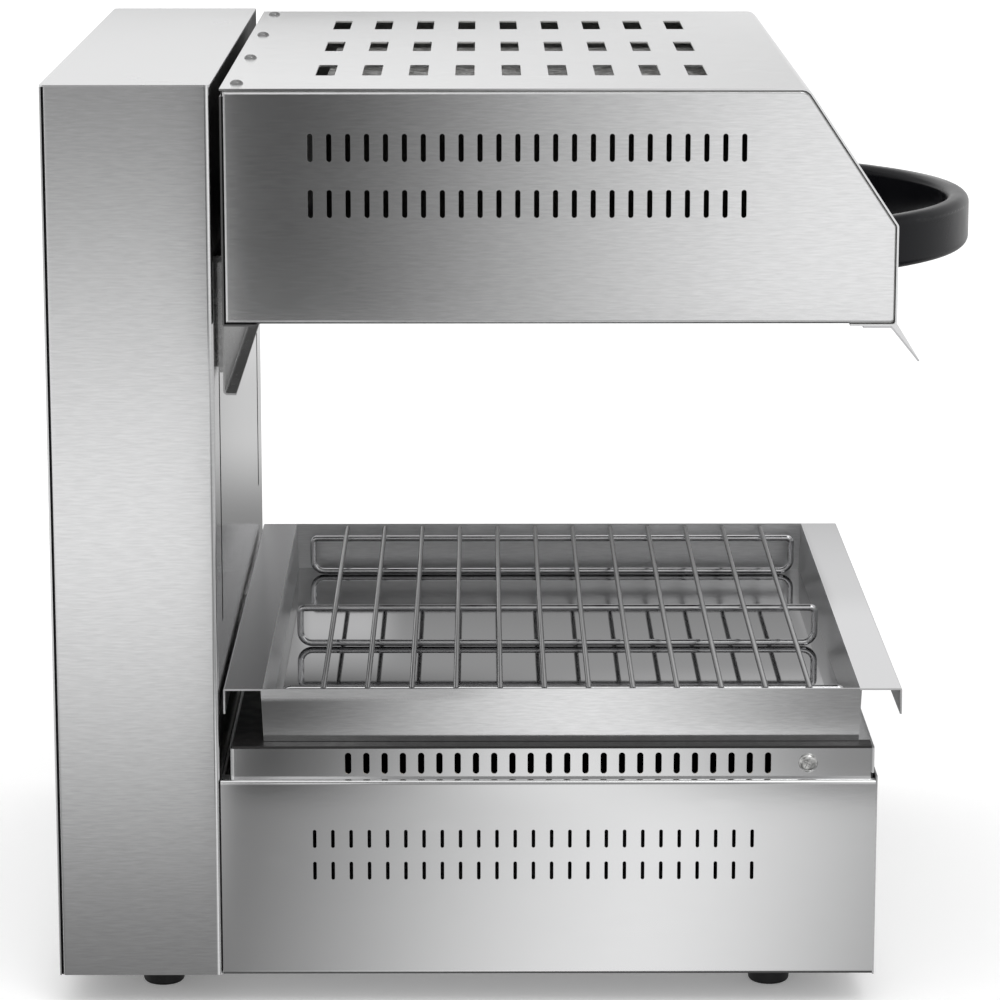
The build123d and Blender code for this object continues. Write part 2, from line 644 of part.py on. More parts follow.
def switch_housing():
    """Bezel and body of the rocker switch, with the well that the rocker sits in."""
    axis = rocker_axis_depth()
    bezel = block(
        (SWITCH_X - SWITCH_HALF_WIDTH, SWITCH_X + SWITCH_HALF_WIDTH),
        (BASE_FRONT, BASE_FRONT + BEZEL),
        (CONTROL_Z - SWITCH_HALF_HEIGHT, CONTROL_Z + SWITCH_HALF_HEIGHT),
    )
    bezel = chamfer(bezel.faces().sort_by(Axis.Y)[0].edges(), BEZEL / 3)
    half_x = SWITCH_HALF_WIDTH - BEZEL
    half_z = SWITCH_HALF_HEIGHT - BEZEL
    body = block(
        (SWITCH_X - half_x, SWITCH_X + half_x),
        (BASE_FRONT - SWITCH_BODY_DEPTH, BASE_FRONT + BEZEL / 2),
        (CONTROL_Z - half_z, CONTROL_Z + half_z),
    )
    well_x = ROCKER_HALF_WIDTH + FIT
    well = block(
        (SWITCH_X - well_x, SWITCH_X + well_x),
        (axis - ROCKER_REACH, BASE_FRONT + 2 * BEZEL),
        (CONTROL_Z - ROCKER_WELL, CONTROL_Z + ROCKER_WELL),
    )
    pin = crosswise(axis, CONTROL_Z, SWITCH_X - half_x - 1, SWITCH_X + half_x + 1, SPINDLE_RADIUS / 2 + RUNNING)
    return bezel + body - well - pin


def rocker():
    """Rocker with two faces that meet in a shallow valley, stored tipped to off."""
    tall = ROCKER_HALF_HEIGHT
    points = [
        (-ROCKER_HEEL, -tall / 3),
        (ROCKER_REACH, -tall),
        (ROCKER_VALLEY, 0),
        (ROCKER_REACH, tall),
        (-ROCKER_HEEL, tall / 3),
    ]
    profile = make_face(Polyline(*points, close=True))
    solid = extrude(profile, amount=ROCKER_HALF_WIDTH, both=True)
    solid += Cylinder(SPINDLE_RADIUS / 2, 2 * (ROCKER_HALF_WIDTH + 2 * BEZEL / 3))
    tipped = Rot(0, 0, ROCKER_SWING / 2) * solid
    place = Plane(
        origin=(SWITCH_X, y_at(rocker_axis_depth()), CONTROL_Z), x_dir=(0, -1, 0), z_dir=(-1, 0, 0)
    )
    return place * tipped


def lamp(x):
    """Pilot lamp: body behind the panel, collar and domed lens in front."""
    body = fore_aft(x, CONTROL_Z, BASE_FRONT - LAMP_LENGTH, BASE_FRONT, LAMP_RADIUS - 1)
    collar = fore_aft(x, CONTROL_Z, BASE_FRONT, BASE_FRONT + LAMP_DOME, LAMP_RADIUS)
    edge = collar.edges().filter_by(GeomType.CIRCLE).sort_by(Axis.Y)[0]
    return body + fillet(edge, LAMP_ROUND)


# ------------------------------------------------------------------ plinth and deck
def plinth_frame():
    """Slotted frame that lifts the tray off the base, folded in along its top."""
    depth = PLINTH_FRONT - PLINTH_REAR
    middle = Pos(0, y_at((PLINTH_FRONT + PLINTH_REAR) / 2), BASE_TOP)
    plan = RectangleRounded(WIDTH - 2 * PLINTH_INSET, depth, BEND)
    frame = extrude(middle * hollow(plan, SHEET), amount=PLINTH_HEIGHT)
    top = Pos(0, 0, PLINTH_HEIGHT - SHEET)
    frame += extrude(middle * top * hollow(plan, PLINTH_FLANGE), amount=SHEET)
    row = (BASE_TOP + PLINTH_HEIGHT / 2,)
    slots = slot_rows(
        PLINTH_SLOT_FIRST, PLINTH_SLOT_COUNT, SLOT_PITCH, row, PLINTH_SLOT_WIDTH, PLINTH_SLOT_LENGTH
    )
    frame -= across(slots, WIDTH)
    z = BASE_TOP + PLINTH_HEIGHT / 2
    return frame - crosswise(PLINTH_SCREW_DEPTH, z, -WIDTH, WIDTH, PAN_SHANK + SCREW_PLAY)


def plinth_deck():
    """Dark plate under the tray, cut back in front between two narrow tongues."""
    side = HALF - PLINTH_INSET - DECK_INSET
    front = PLINTH_FRONT - DECK_INSET
    plate = block((-side, side), (PLINTH_REAR + DECK_INSET, front), (PLINTH_TOP, DECK_TOP))
    inner = side - DECK_TONGUE
    return plate - block((-inner, inner), (TRAY_FRONT - DECK_LAP, front + 1), (PLINTH_TOP - 1, DECK_TOP + 1))


def plinth_screws():
    """One domed screw in each side of the plinth."""
    z = BASE_TOP + PLINTH_HEIGHT / 2
    screw = pan_screw(SIDE_HEAD_RADIUS, SIDE_HEAD_RISE, PAN_SHANK, SCREW_LENGTH)
    screws = []
    for side in (-1, 1):
        seat = Pos(side * (HALF - PLINTH_INSET), y_at(PLINTH_SCREW_DEPTH), z)
        screws.append(seat * Rot(0, side * 90, 0) * screw)
    return Compound(children=screws)


# ------------------------------------------------------------------ feet
def foot_places():
    out = HALF - FOOT_INSET
    return [(side * out, depth) for depth in (FOOT_REAR, FOOT_FRONT) for side in (-1, 1)]


def feet():
    """Rubber feet, tapered, with a socket for the stud."""
    solids = []
    for x, depth in foot_places():
        foot = Pos(x, y_at(depth), 0) * Cone(
            FOOT_RADIUS - FOOT_TAPER, FOOT_RADIUS, FOOT_HEIGHT, align=(Align.CENTER, Align.CENTER, Align.MIN)
        )
        rim = foot.edges().filter_by(GeomType.CIRCLE).sort_by(Axis.Z)[0]
        foot = fillet(rim, FOOT_ROUND)
        foot -= upright(x, depth, FOOT_HEIGHT - STUD_SUNK, FOOT_HEIGHT + 1, STUD_THREAD + SCREW_PLAY)
        solids.append(foot)
    return Compound(children=solids)


def foot_studs():
    """Stud and nut that hold each foot to the sheet above it."""
    solids = []
    for x, depth in foot_places():
        stud = upright(x, depth, FOOT_HEIGHT - STUD_SUNK + FIT, FLOOR_TOP + NUT_HEIGHT + 2, STUD_THREAD)
        nut = Pos(x, y_at(depth), FLOOR_TOP) * extrude(RegularPolygon(NUT_RADIUS, 6), amount=NUT_HEIGHT)
        solids.append(stud + nut)
    return Compound(children=solids)


# ------------------------------------------------------------------ drip tray and rack
def drip_tray():
    """Drafted tray with a hooked flange at the rear and a broad lip at the front."""
    inset = TRAY_HEIGHT * math.tan(math.radians(TRAY_DRAFT))
    depth = TRAY_FRONT - TRAY_REAR
    middle = y_at((TRAY_FRONT + TRAY_REAR) / 2)

    def tub(shrink, z0):
        low_inset = 2 * inset * (TRAY_RIM - z0) / TRAY_HEIGHT + 2 * shrink
        low = Pos(0, middle, z0) * Rectangle(TRAY_WIDTH - low_inset, depth - low_inset)
        rim = Pos(0, middle, TRAY_RIM) * Rectangle(TRAY_WIDTH - 2 * shrink, depth - 2 * shrink)
        return loft(Sketch() + [low, rim])

    tray = tub(0, TRAY_BOTTOM) - tub(SHEET, TRAY_FLOOR)
    half = TRAY_WIDTH / 2
    rim_z = (TRAY_RIM - SHEET, TRAY_RIM)
    rear_edge = TRAY_REAR - TRAY_REAR_FLANGE
    front_edge = TRAY_FRONT + TRAY_FRONT_FLANGE
    tray += block((-half, half), (rear_edge, TRAY_REAR + SHEET), rim_z)
    tray += block((-half, half), (rear_edge, rear_edge + SHEET), (TRAY_RIM - TRAY_REAR_HEM, TRAY_RIM))
    tray += block((-half, half), (TRAY_FRONT - SHEET, front_edge), rim_z)
    tray += block((-half, half), (front_edge - SHEET, front_edge), (TRAY_RIM - TRAY_FRONT_HEM, TRAY_RIM))
    bends = [
        edge
        for edge in tray.edges().filter_by(Axis.X).filter_by_position(Axis.Z, TRAY_RIM - 0.01, TRAY_RIM + 0.01)
        if edge.center().Y > y_at(rear_edge + 0.01) or edge.center().Y < y_at(front_edge - 0.01)
    ]
    return fillet(bends, TRAY_BEND)


def rack_crosswires():
    """Straight wires across the width."""
    half = RACK_LENGTH / 2
    depths = [RACK_FIRST + RACK_PITCH * i for i in range(RACK_COUNT)]
    return Compound(children=[crosswise(d, RACK_HEIGHT, -half, half, RACK_WIRE / 2) for d in depths])


def rack_loops():
    """Upright wire loops that carry the cross wires and stand on the tray's floor."""
    corners = [(LOOP_REAR, LOOP_UPPER), (LOOP_REAR, LOOP_LOWER), (LOOP_FRONT, LOOP_LOWER), (LOOP_FRONT, LOOP_UPPER)]
    radii = [LOOP_UPPER_RADIUS, LOOP_LOWER_RADIUS, LOOP_LOWER_RADIUS, LOOP_UPPER_RADIUS]
    half = LOOP_WIRE / 2
    inset = [(half, 0), (half, 0), (-half, 0), (-half, 0)]
    path_points = [(c[0] + i[0], c[1] + i[1]) for c, i in zip(corners, inset)]
    loops = []
    for x in (-LOOP_SPACING, 0, LOOP_SPACING):
        plane = Plane(origin=(x, REAR_Y, 0), x_dir=(0, -1, 0), z_dir=(-1, 0, 0))
        path = plane * FilletPolyline(*path_points, radius=radii, close=True)
        start = path.edges().sort_by(Axis.Z)[0]
        wire_section = Plane(origin=start @ 0.5, z_dir=start % 0.5) * Circle(LOOP_WIRE / 2)
        loops.append(sweep(wire_section, path=path.wire()))
    return Compound(children=loops)


# ------------------------------------------------------------------ hood
def hood_outline(inset):
    """Side outline of the hood with its brow and knee rounded, drawn in by an inset."""
    points = [
        (HOOD_REAR, HOOD_BOTTOM),
        (HOOD_FRONT, HOOD_BOTTOM),
        (HOOD_FRONT, HOOD_TOP - CHAMFER_FALL),
        (HOOD_FRONT - CHAMFER_RUN, HOOD_TOP),
        (HOOD_REAR, HOOD_TOP),
    ]
    face = make_face(Polyline(*points, close=True))
    if inset > 0:
        face = offset(face, amount=-inset, kind=Kind.INTERSECTION)
    for corner, radius in ((points[1], BEND), (points[2], KNEE_BEND), (points[3], BROW_BEND)):
        nearest = face.vertices().sort_by_distance((*corner, 0))[0]
        face = fillet(nearest, radius)
    return face


def cover_screw_places():
    spots = (COVER_SCREW_OUTER, COVER_SCREW_INNER)
    return [side * x for side in (-1, 1) for x in spots]


def hood_cover():
    """One sheet wrapped over the top, brow and front, with three rows of top slots."""
    section = hollow(hood_outline(0), SHEET)
    rear_wall = Pos(HOOD_REAR, HOOD_BOTTOM) * Rectangle(4 * SHEET, 2 * (HOOD_HEIGHT - SHEET))
    open_floor = Pos(HOOD_REAR, HOOD_BOTTOM) * Rectangle(2 * (HOOD_DEPTH - COVER_RETURN), 4 * SHEET)
    cover = across(section - rear_wall - open_floor, HALF)
    slot = RectangleRounded(TOP_SLOT_LENGTH, TOP_SLOT_DEPTH, TOP_SLOT_CORNER)
    depths = [HOOD_REAR + TOP_SLOT_FIRST + TOP_SLOT_PITCH * i for i in range(TOP_SLOT_COUNT)]
    rows = (-TOP_SLOT_SPACING, 0, TOP_SLOT_SPACING)
    slots = Sketch() + [Pos(x, y_at(d), HOOD_TOP + 1) * slot for x in rows for d in depths]
    cover -= extrude(slots, amount=-2 * SHEET - 1)
    for x in cover_screw_places():
        cover -= upright(x, HOOD_REAR + COVER_SCREW_DEPTH, HOOD_TOP - 2 * SHEET, HOOD_TOP + 1, PAN_SHANK + SCREW_PLAY)
    for x in handle_screw_places():
        cover -= fore_aft(
            x, HOOD_TOP - HANDLE_BELOW_TOP, HOOD_FRONT - 2 * SHEET, HOOD_FRONT + 1, ARM_BOLT_RADIUS + SCREW_PLAY
        )
    return cover


def hood_side_left():
    """Slotted side pan: its rim is folded in and nests inside the cover."""
    outline = hood_outline(SHEET + FIT)
    outer = SIDE.offset(SIDE_X)
    pan = extrude(outer * outline, amount=-SIDE_FLANGE)
    pan = fillet(pan.faces().sort_by(Axis.X)[0].edges(), SIDE_ROUND)
    inner = SIDE.offset(SIDE_X - SHEET)
    pan -= extrude(inner * offset(outline, amount=-SHEET, kind=Kind.INTERSECTION), amount=-SIDE_FLANGE)
    heights = (HOOD_TOP - HOOD_ROW_LOWER, HOOD_TOP - HOOD_ROW_UPPER)
    slots = slot_rows(
        HOOD_REAR + HOOD_SLOT_FIRST, HOOD_SLOT_COUNT, SLOT_PITCH, heights, HOOD_SLOT_WIDTH, HOOD_SLOT_LENGTH
    )
    return pan - extrude(outer * slots, amount=2 * SHEET, both=True)


def hood_side_right():
    return mirror(hood_side_left(), about=Plane.YZ)


def arm_bolt_places():
    x = ARM_SPACING + ARM_FLANGE / 2 - ARM_SHEET / 2
    low = HOOD_BOTTOM + ARM_BOLT_RISE
    return [(side * x, z) for side in (-1, 1) for z in (low, low + ARM_BOLT_PITCH)]


def hood_back():
    """Rear plate of the hood, folded forward along its top and bottom."""
    middle = HOOD_REAR + SHEET / 2
    low = HOOD_BOTTOM + SHEET / 2
    high = HOOD_TOP - SHEET - FIT - SHEET / 2
    points = [
        (HOOD_REAR + BACK_RETURN, low),
        (middle, low),
        (middle, high),
        (HOOD_REAR + BACK_TOP_FLANGE, high),
    ]
    back = across(folded(points, TIGHT_BEND), SIDE_X)
    notch_x = SIDE_X - SIDE_FLANGE - 1
    notch = block((notch_x, HALF + 1), (HOOD_REAR + SHEET, HOOD_FRONT), (HOOD_BOTTOM + 2 * SHEET, HOOD_TOP))
    back -= both_sides(notch)
    corner = block((notch_x, HALF + 1), (HOOD_REAR, HOOD_FRONT), (high - BEND, HOOD_TOP))
    back -= both_sides(corner)
    for x, z in arm_bolt_places():
        back -= fore_aft(x, z, HOOD_REAR - 1, HOOD_REAR + 2 * SHEET, ARM_BOLT_RADIUS + SCREW_PLAY)
    for x in cover_screw_places():
        back -= upright(x, HOOD_REAR + COVER_SCREW_DEPTH, high - SHEET, HOOD_TOP, PAN_SHANK + SCREW_PLAY)
    return back


def rear_skirt():
    """Splash plate that hangs below the back of the hood, with a folded lower lip."""
    middle = SKIRT_BACK + SHEET / 2
    low = HOOD_BOTTOM - SKIRT_DROP + SHEET / 2
    points = [(middle, HOOD_BOTTOM + SKIRT_LAP), (middle, low), (SKIRT_BACK + SKIRT_LIP, low)]
    skirt = across(folded(points, BEND - SHEET / 2), HALF - SKIRT_INSET)
    for x, z in arm_bolt_places():
        skirt -= fore_aft(x, z, SKIRT_BACK - 1, HOOD_REAR + 1, ARM_BOLT_RADIUS + SCREW_PLAY)
    return skirt


def front_lip():
    """Drip edge bent down and forward from under the front of the hood."""
    level = HOOD_BOTTOM - SHEET / 2
    points = [
        (HOOD_FRONT - LIP_LAP, level),
        (HOOD_FRONT - LIP_SETBACK, level),
        (HOOD_FRONT + LIP_REACH, HOOD_BOTTOM - LIP_DROP),
    ]
    return across(folded(points, BEND - SHEET / 2), HALF)


def cover_screws():
    """Four domed screws along the rear edge of the top."""
    screw = pan_screw(PAN_HEAD_RADIUS, PAN_HEAD_RISE, PAN_SHANK, SCREW_LENGTH)
    spot = y_at(HOOD_REAR + COVER_SCREW_DEPTH)
    return Compound(children=[Pos(x, spot, HOOD_TOP) * screw for x in cover_screw_places()])


# ------------------------------------------------------------------ handle
def handle_radius():
    return ((HANDLE_SPAN / 2) ** 2 + HANDLE_REACH ** 2) / (2 * HANDLE_REACH)


def handle_screw_places():
    """Middle of the band, half way along the screw."""
    centre_depth = HOOD_FRONT + HANDLE_REACH - handle_radius()
    ahead = HOOD_FRONT + HANDLE_SCREW_DEPTH / 2 - centre_depth
    band_middle = handle_radius() - HANDLE_BAND / 2
    x = math.sqrt(band_middle ** 2 - ahead ** 2)
    return [-x, x]


def handle():
    """Bow of constant radius, square on to the front of the hood."""
    radius = handle_radius()
    centre = Pos(0, y_at(HOOD_FRONT + HANDLE_REACH - radius), HOOD_TOP - HANDLE_BELOW_TOP)
    band = Circle(radius) - Circle(radius - HANDLE_BAND)
    bow = extrude(band, amount=HANDLE_TALL / 2, both=True)
    bow = centre * fillet(bow.edges().filter_by(GeomType.CIRCLE), HANDLE_ROUND)
    reach = 2 * radius
    bow -= block((-reach, reach), (HOOD_FRONT - 2 * reach, HOOD_FRONT), (0, 2 * HOOD_TOP))
    for x in handle_screw_places():
        bow -= fore_aft(
            x,
            HOOD_TOP - HANDLE_BELOW_TOP,
            HOOD_FRONT - 1,
            HOOD_FRONT + HANDLE_SCREW_DEPTH,
            ARM_BOLT_RADIUS + SCREW_PLAY,
        )
    return bow


def handle_screws():
    """Screws from inside the hood into the ends of the handle."""
    z = HOOD_TOP - HANDLE_BELOW_TOP
    tip = HOOD_FRONT + HANDLE_SCREW_DEPTH - FIT
    return Compound(children=[hex_bolt(x, z, HOOD_FRONT - SHEET, tip) for x in handle_screw_places()])


# ------------------------------------------------------------------ heating gear
def pan_middle():
    return (PAN_REAR + PAN_FRONT) / 2


def frustum(shrink, z0, z1):
    """Solid inside of the reflector between two heights, drawn in by a wall."""
    depth = PAN_FRONT - PAN_REAR

    def rectangle_at(z):
        splay = 2 * PAN_SPLAY * (z - PAN_SEAT) / PAN_HEIGHT + 2 * shrink
        size = Rectangle(2 * PAN_HALF_WIDTH - splay, depth - splay)
        return Pos(0, y_at(pan_middle()), z) * size

    return loft(Sketch() + [rectangle_at(z0), rectangle_at(z1)])


def heater_depths():
    """Depth of the two runs of each element, rear element first."""
    first = PAN_REAR + HEATER_REAR_OFFSET
    second = PAN_FRONT - HEATER_REAR_OFFSET - HEATER_PITCH
    return [(first, first + HEATER_PITCH), (second, second + HEATER_PITCH)]


def heater_end():
    return PAN_HALF_WIDTH + HEATER_TAIL


def reflector():
    """Polished pan, open below, with a rim that rests on the side pans."""
    pan = frustum(-SHEET, PAN_SEAT, ROOF_TOP) - frustum(0, PAN_SEAT, ROOF_BOTTOM)
    rim_x = PAN_HALF_WIDTH + 3 * PAN_RIM
    rim = block((-rim_x, rim_x), (PAN_REAR - PAN_RIM, PAN_FRONT + PAN_RIM), (PAN_SEAT, PAN_SEAT + SHEET))
    hole = block((-PAN_HALF_WIDTH, PAN_HALF_WIDTH), (PAN_REAR, PAN_FRONT), (PAN_SEAT - 1, PAN_SEAT + 2 * SHEET))
    pan += rim - hole
    clear = HEATER_TUBE / 2 + FIT
    for pair in heater_depths():
        for depth in pair:
            pan -= crosswise(depth, HEATER_Z, PAN_HALF_WIDTH - PAN_SPLAY, heater_end(), clear)
    return pan


def heating_elements():
    """Two hairpin tubes that run across the hood."""
    elements = []
    turn = -PAN_HALF_WIDTH + PAN_SPLAY + HEATER_TURN + HEATER_TUBE
    for near, far in heater_depths():
        start = (heater_end(), y_at(near), HEATER_Z)
        finish = (heater_end(), y_at(far), HEATER_Z)
        bend_in = (turn, y_at(near), HEATER_Z)
        bend_out = (turn, y_at(far), HEATER_Z)
        tip = (turn - HEATER_PITCH / 2, y_at((near + far) / 2), HEATER_Z)
        path = Line(start, bend_in) + ThreePointArc(bend_in, tip, bend_out) + Line(bend_out, finish)
        section = Plane(origin=start, z_dir=(-1, 0, 0)) * Circle(HEATER_TUBE / 2)
        elements.append(sweep(section, path=path.wire()))
    return Compound(children=elements)


def heater_terminals():
    """Ceramic bead and stud at each end of the elements."""
    ends = []
    for pair in heater_depths():
        for depth in pair:
            bead_end = heater_end() + BEAD_LENGTH
            bead = crosswise(depth, HEATER_Z, heater_end(), bead_end, BEAD_RADIUS)
            ends.append(bead + crosswise(depth, HEATER_Z, bead_end, bead_end + STUD_LENGTH, STUD_RADIUS))
    return Compound(children=ends)


def heater_hangers():
    """Plates that hang from the roof of the reflector and hold the tubes."""
    first = heater_depths()[0][0] - HANGER_MARGIN
    last = heater_depths()[1][1] + HANGER_MARGIN
    hangers = []
    for x in (-HANGER_SPACING, HANGER_SPACING):
        half = HANGER_SHEET / 2
        plate = block((x - half, x + half), (first, last), (HEATER_Z - HANGER_BELOW_TUBE, ROOF_BOTTOM))
        for pair in heater_depths():
            for depth in pair:
                plate -= crosswise(depth, HEATER_Z, x - 1, x + 1, HEATER_TUBE / 2 + FIT)
        hangers.append(plate)
    return Compound(children=hangers)


def insulation():
    """Fibre slab on the roof of the reflector."""
    half_x = PAN_HALF_WIDTH - PAN_SPLAY - INSULATION_INSET
    rear = PAN_REAR + PAN_SPLAY + INSULATION_INSET
    front = PAN_FRONT - PAN_SPLAY - INSULATION_INSET
    return block((-half_x, half_x), (rear, front), (ROOF_TOP + FIT, ROOF_TOP + FIT + INSULATION_THICK))


def heat_shield():
    """Bright plate over the slab, folded down round its edge."""
    half_x = PAN_HALF_WIDTH - PAN_SPLAY - INSULATION_INSET + SHEET + FIT
    rear = PAN_REAR + PAN_SPLAY + INSULATION_INSET - SHEET - FIT
    front = PAN_FRONT - PAN_SPLAY - INSULATION_INSET + SHEET + FIT
    plan = Pos(0, y_at((rear + front) / 2), SHIELD_BOTTOM + SHEET) * Rectangle(2 * half_x, front - rear)
    return extrude(plan, amount=-SHEET) + extrude(hollow(plan, SHEET), amount=-SHIELD_HEM)


# ------------------------------------------------------------------ lift gear
def lift_arms():
    """Arm through each column slot, with the flange that bolts to the hood."""
    z_span = (CARRIAGE_BOTTOM, CARRIAGE_TOP)
    inner = ARM_SPACING - ARM_SHEET / 2
    web = block((inner, inner + ARM_SHEET), (CARRIAGE_FRONT, SKIRT_BACK), z_span)
    arm = web + block((inner, inner + ARM_FLANGE), (ARM_FLANGE_BACK, SKIRT_BACK), z_span)
    for x, z in arm_bolt_places():
        arm -= fore_aft(x, z, ARM_FLANGE_BACK - 1, SKIRT_BACK + 1, ARM_BOLT_RADIUS + SCREW_PLAY)
    return Compound(children=[arm, mirror(arm, about=Plane.YZ)])


def arm_bolts():
    """Bolts from inside the hood through its back, the skirt and the arm flanges."""
    seat = HOOD_REAR + SHEET
    tip = ARM_FLANGE_BACK
    return Compound(children=[hex_bolt(x, z, seat, tip) for x, z in arm_bolt_places()])


def carriage_plate():
    """Plate that joins the arms and bearing blocks, with a tab for each cable."""
    plate = block(
        (-CARRIAGE_SPACING, CARRIAGE_SPACING), (CARRIAGE_BACK, CARRIAGE_FRONT), (CARRIAGE_BOTTOM, CARRIAGE_TOP)
    )
    window_x = PULLEY_SPACING - TAB_WIDTH
    window_z = CARRIAGE_HEIGHT / 4
    plate -= block(
        (-window_x, window_x),
        (CARRIAGE_BACK - 1, CARRIAGE_FRONT + 1),
        (CARRIAGE_BOTTOM + window_z, CARRIAGE_TOP - window_z),
    )
    rear = CARRIAGE_CABLE_DEPTH - TAB_WIDTH / 2
    tab = block(
        (PULLEY_SPACING - TAB_WIDTH / 2, PULLEY_SPACING + TAB_WIDTH / 2),
        (rear, CARRIAGE_BACK),
        (TAB_TOP - TAB_SHEET, TAB_TOP),
    )
    plate += both_sides(tab)
    ferrule = upright(PULLEY_SPACING, CARRIAGE_CABLE_DEPTH, TAB_TOP, TAB_TOP + ANCHOR_HEIGHT, ANCHOR_RADIUS)
    return plate + both_sides(ferrule)


def bearing_blocks():
    """Housings on the carriage, bored for a bush at each end."""
    half = HOUSING_WIDTH / 2
    solids = []
    for side in (-1, 1):
        x = side * ROD_SPACING
        housing = block(
            (x - half, x + half), (ROD_DEPTH - HOUSING_DEPTH / 2, CARRIAGE_BACK), (CARRIAGE_BOTTOM, CARRIAGE_TOP)
        )
        solids.append(housing - upright(x, ROD_DEPTH, 0, COLUMN_TOP, BUSH_RADIUS + RUNNING))
    return Compound(children=solids)


def bushes():
    """Plain bushes that run on the guide rods."""
    solids = []
    for side in (-1, 1):
        x = side * ROD_SPACING
        for z0 in (CARRIAGE_BOTTOM, CARRIAGE_TOP - BUSH_LENGTH):
            bush = upright(x, ROD_DEPTH, z0, z0 + BUSH_LENGTH, BUSH_RADIUS)
            solids.append(bush - upright(x, ROD_DEPTH, 0, COLUMN_TOP, ROD_RADIUS + RUNNING))
    return Compound(children=solids)


def rod_ends():
    """Heights of the lower and upper ends of the guide rods."""
    low = CARRIAGE_BOTTOM - LIFT_TRAVEL - BUFFER_HEIGHT - BLOCK_HEIGHT
    high = CARRIAGE_TOP + BUFFER_HEIGHT + BLOCK_HEIGHT
    return low, high


def guide_rods():
    low, high = rod_ends()
    sides = (-ROD_SPACING, ROD_SPACING)
    return Compound(children=[upright(x, ROD_DEPTH, low, high, ROD_RADIUS) for x in sides])


def rod_blocks():
    """Blocks on the front wall of the column that hold the ends of the rods."""
    low, high = rod_ends()
    half = HOUSING_WIDTH / 2
    solids = []
    for x in (-ROD_SPACING, ROD_SPACING):
        for z0 in (low, high - BLOCK_HEIGHT):
            body = block(
                (x - half, x + half),
                (ROD_DEPTH - HOUSING_DEPTH / 2, COLUMN_DEPTH - SHEET),
                (z0, z0 + BLOCK_HEIGHT),
            )
            solids.append(body - upright(x, ROD_DEPTH, 0, COLUMN_TOP, ROD_RADIUS + RUNNING))
    return Compound(children=solids)


def stop_buffers():
    """Rubber rings that the carriage meets at each end of its travel."""
    low, high = rod_ends()
    solids = []
    for x in (-ROD_SPACING, ROD_SPACING):
        for z0, z1 in (
            (low + BLOCK_HEIGHT, low + BLOCK_HEIGHT + BUFFER_HEIGHT - FIT),
            (high - BLOCK_HEIGHT - BUFFER_HEIGHT + FIT, high - BLOCK_HEIGHT),
        ):
            ring = upright(x, ROD_DEPTH, z0, z1, ROD_RADIUS + BUFFER_WALL)
            solids.append(ring - upright(x, ROD_DEPTH, 0, COLUMN_TOP, ROD_RADIUS + FIT))
    return Compound(children=solids)


def counterweight():
    """Cast weight that runs behind the rods, with a ferrule for each cable."""
    half = WEIGHT_WIDTH / 2
    weight = block((-half, half), (WEIGHT_REAR, WEIGHT_REAR + WEIGHT_THICK), (WEIGHT_BOTTOM, WEIGHT_TOP))
    weight = chamfer(weight.edges().filter_by(Axis.X), BEND)
    ferrule = upright(PULLEY_SPACING, WEIGHT_DEPTH, WEIGHT_TOP, WEIGHT_TOP + ANCHOR_HEIGHT, ANCHOR_RADIUS)
    return weight + both_sides(ferrule)


def weight_guides():
    """Channels on the rear panel that keep the weight in line."""
    web_x = WEIGHT_WIDTH / 2 + GUIDE_PLAY
    front = WEIGHT_REAR + WEIGHT_THICK + GUIDE_PLAY
    z_span = (FOOT_HEIGHT + FLOOR_FLANGE + FIT, WEIGHT_TOP + LIFT_TRAVEL)
    outer = (web_x - GUIDE_LAP, web_x + GUIDE_SHEET)
    channel = block(outer, (SHEET, front + GUIDE_SHEET), z_span)
    channel -= block((web_x - GUIDE_LAP - 1, web_x), (SHEET + GUIDE_SHEET, front), z_span)
    return Compound(children=[channel, mirror(channel, about=Plane.YZ)])


def pulley():
    """Grooved wheel on the right; its rims stand above the cable."""
    pitch = PULLEY_PITCH_RADIUS
    half = PULLEY_WIDTH / 2
    rim = pitch + PULLEY_RIM
    profile = make_face(
        Polyline(
            (AXLE_RADIUS + RUNNING, -half),
            (rim, -half),
            (rim, -half + 1),
            (pitch - CABLE_RADIUS - FIT, -CABLE_RADIUS),
            (pitch - CABLE_RADIUS - FIT, CABLE_RADIUS),
            (rim, half - 1),
            (rim, half),
            (AXLE_RADIUS + RUNNING, half),
            close=True,
        )
    )
    groove = profile - Pos(pitch, 0) * Circle(CABLE_RADIUS + FIT)
    wheel = revolve(groove, axis=Axis.Y)
    return wheel


def pulley_at(x):
    place = Plane(origin=(x, y_at(PULLEY_DEPTH), PULLEY_HEIGHT), x_dir=(0, 1, 0), z_dir=(0, 0, 1))
    return place * pulley()


def pulley_axles():
    """Axle through both cheeks of each bracket."""
    reach = PULLEY_WIDTH / 2 + CHEEK_PLAY + CHEEK_SHEET
    solids = []
    for x in (-PULLEY_SPACING, PULLEY_SPACING):
        solids.append(crosswise(PULLEY_DEPTH, PULLEY_HEIGHT, x - reach - 1, x + reach + 1, AXLE_RADIUS))
    return Compound(children=solids)


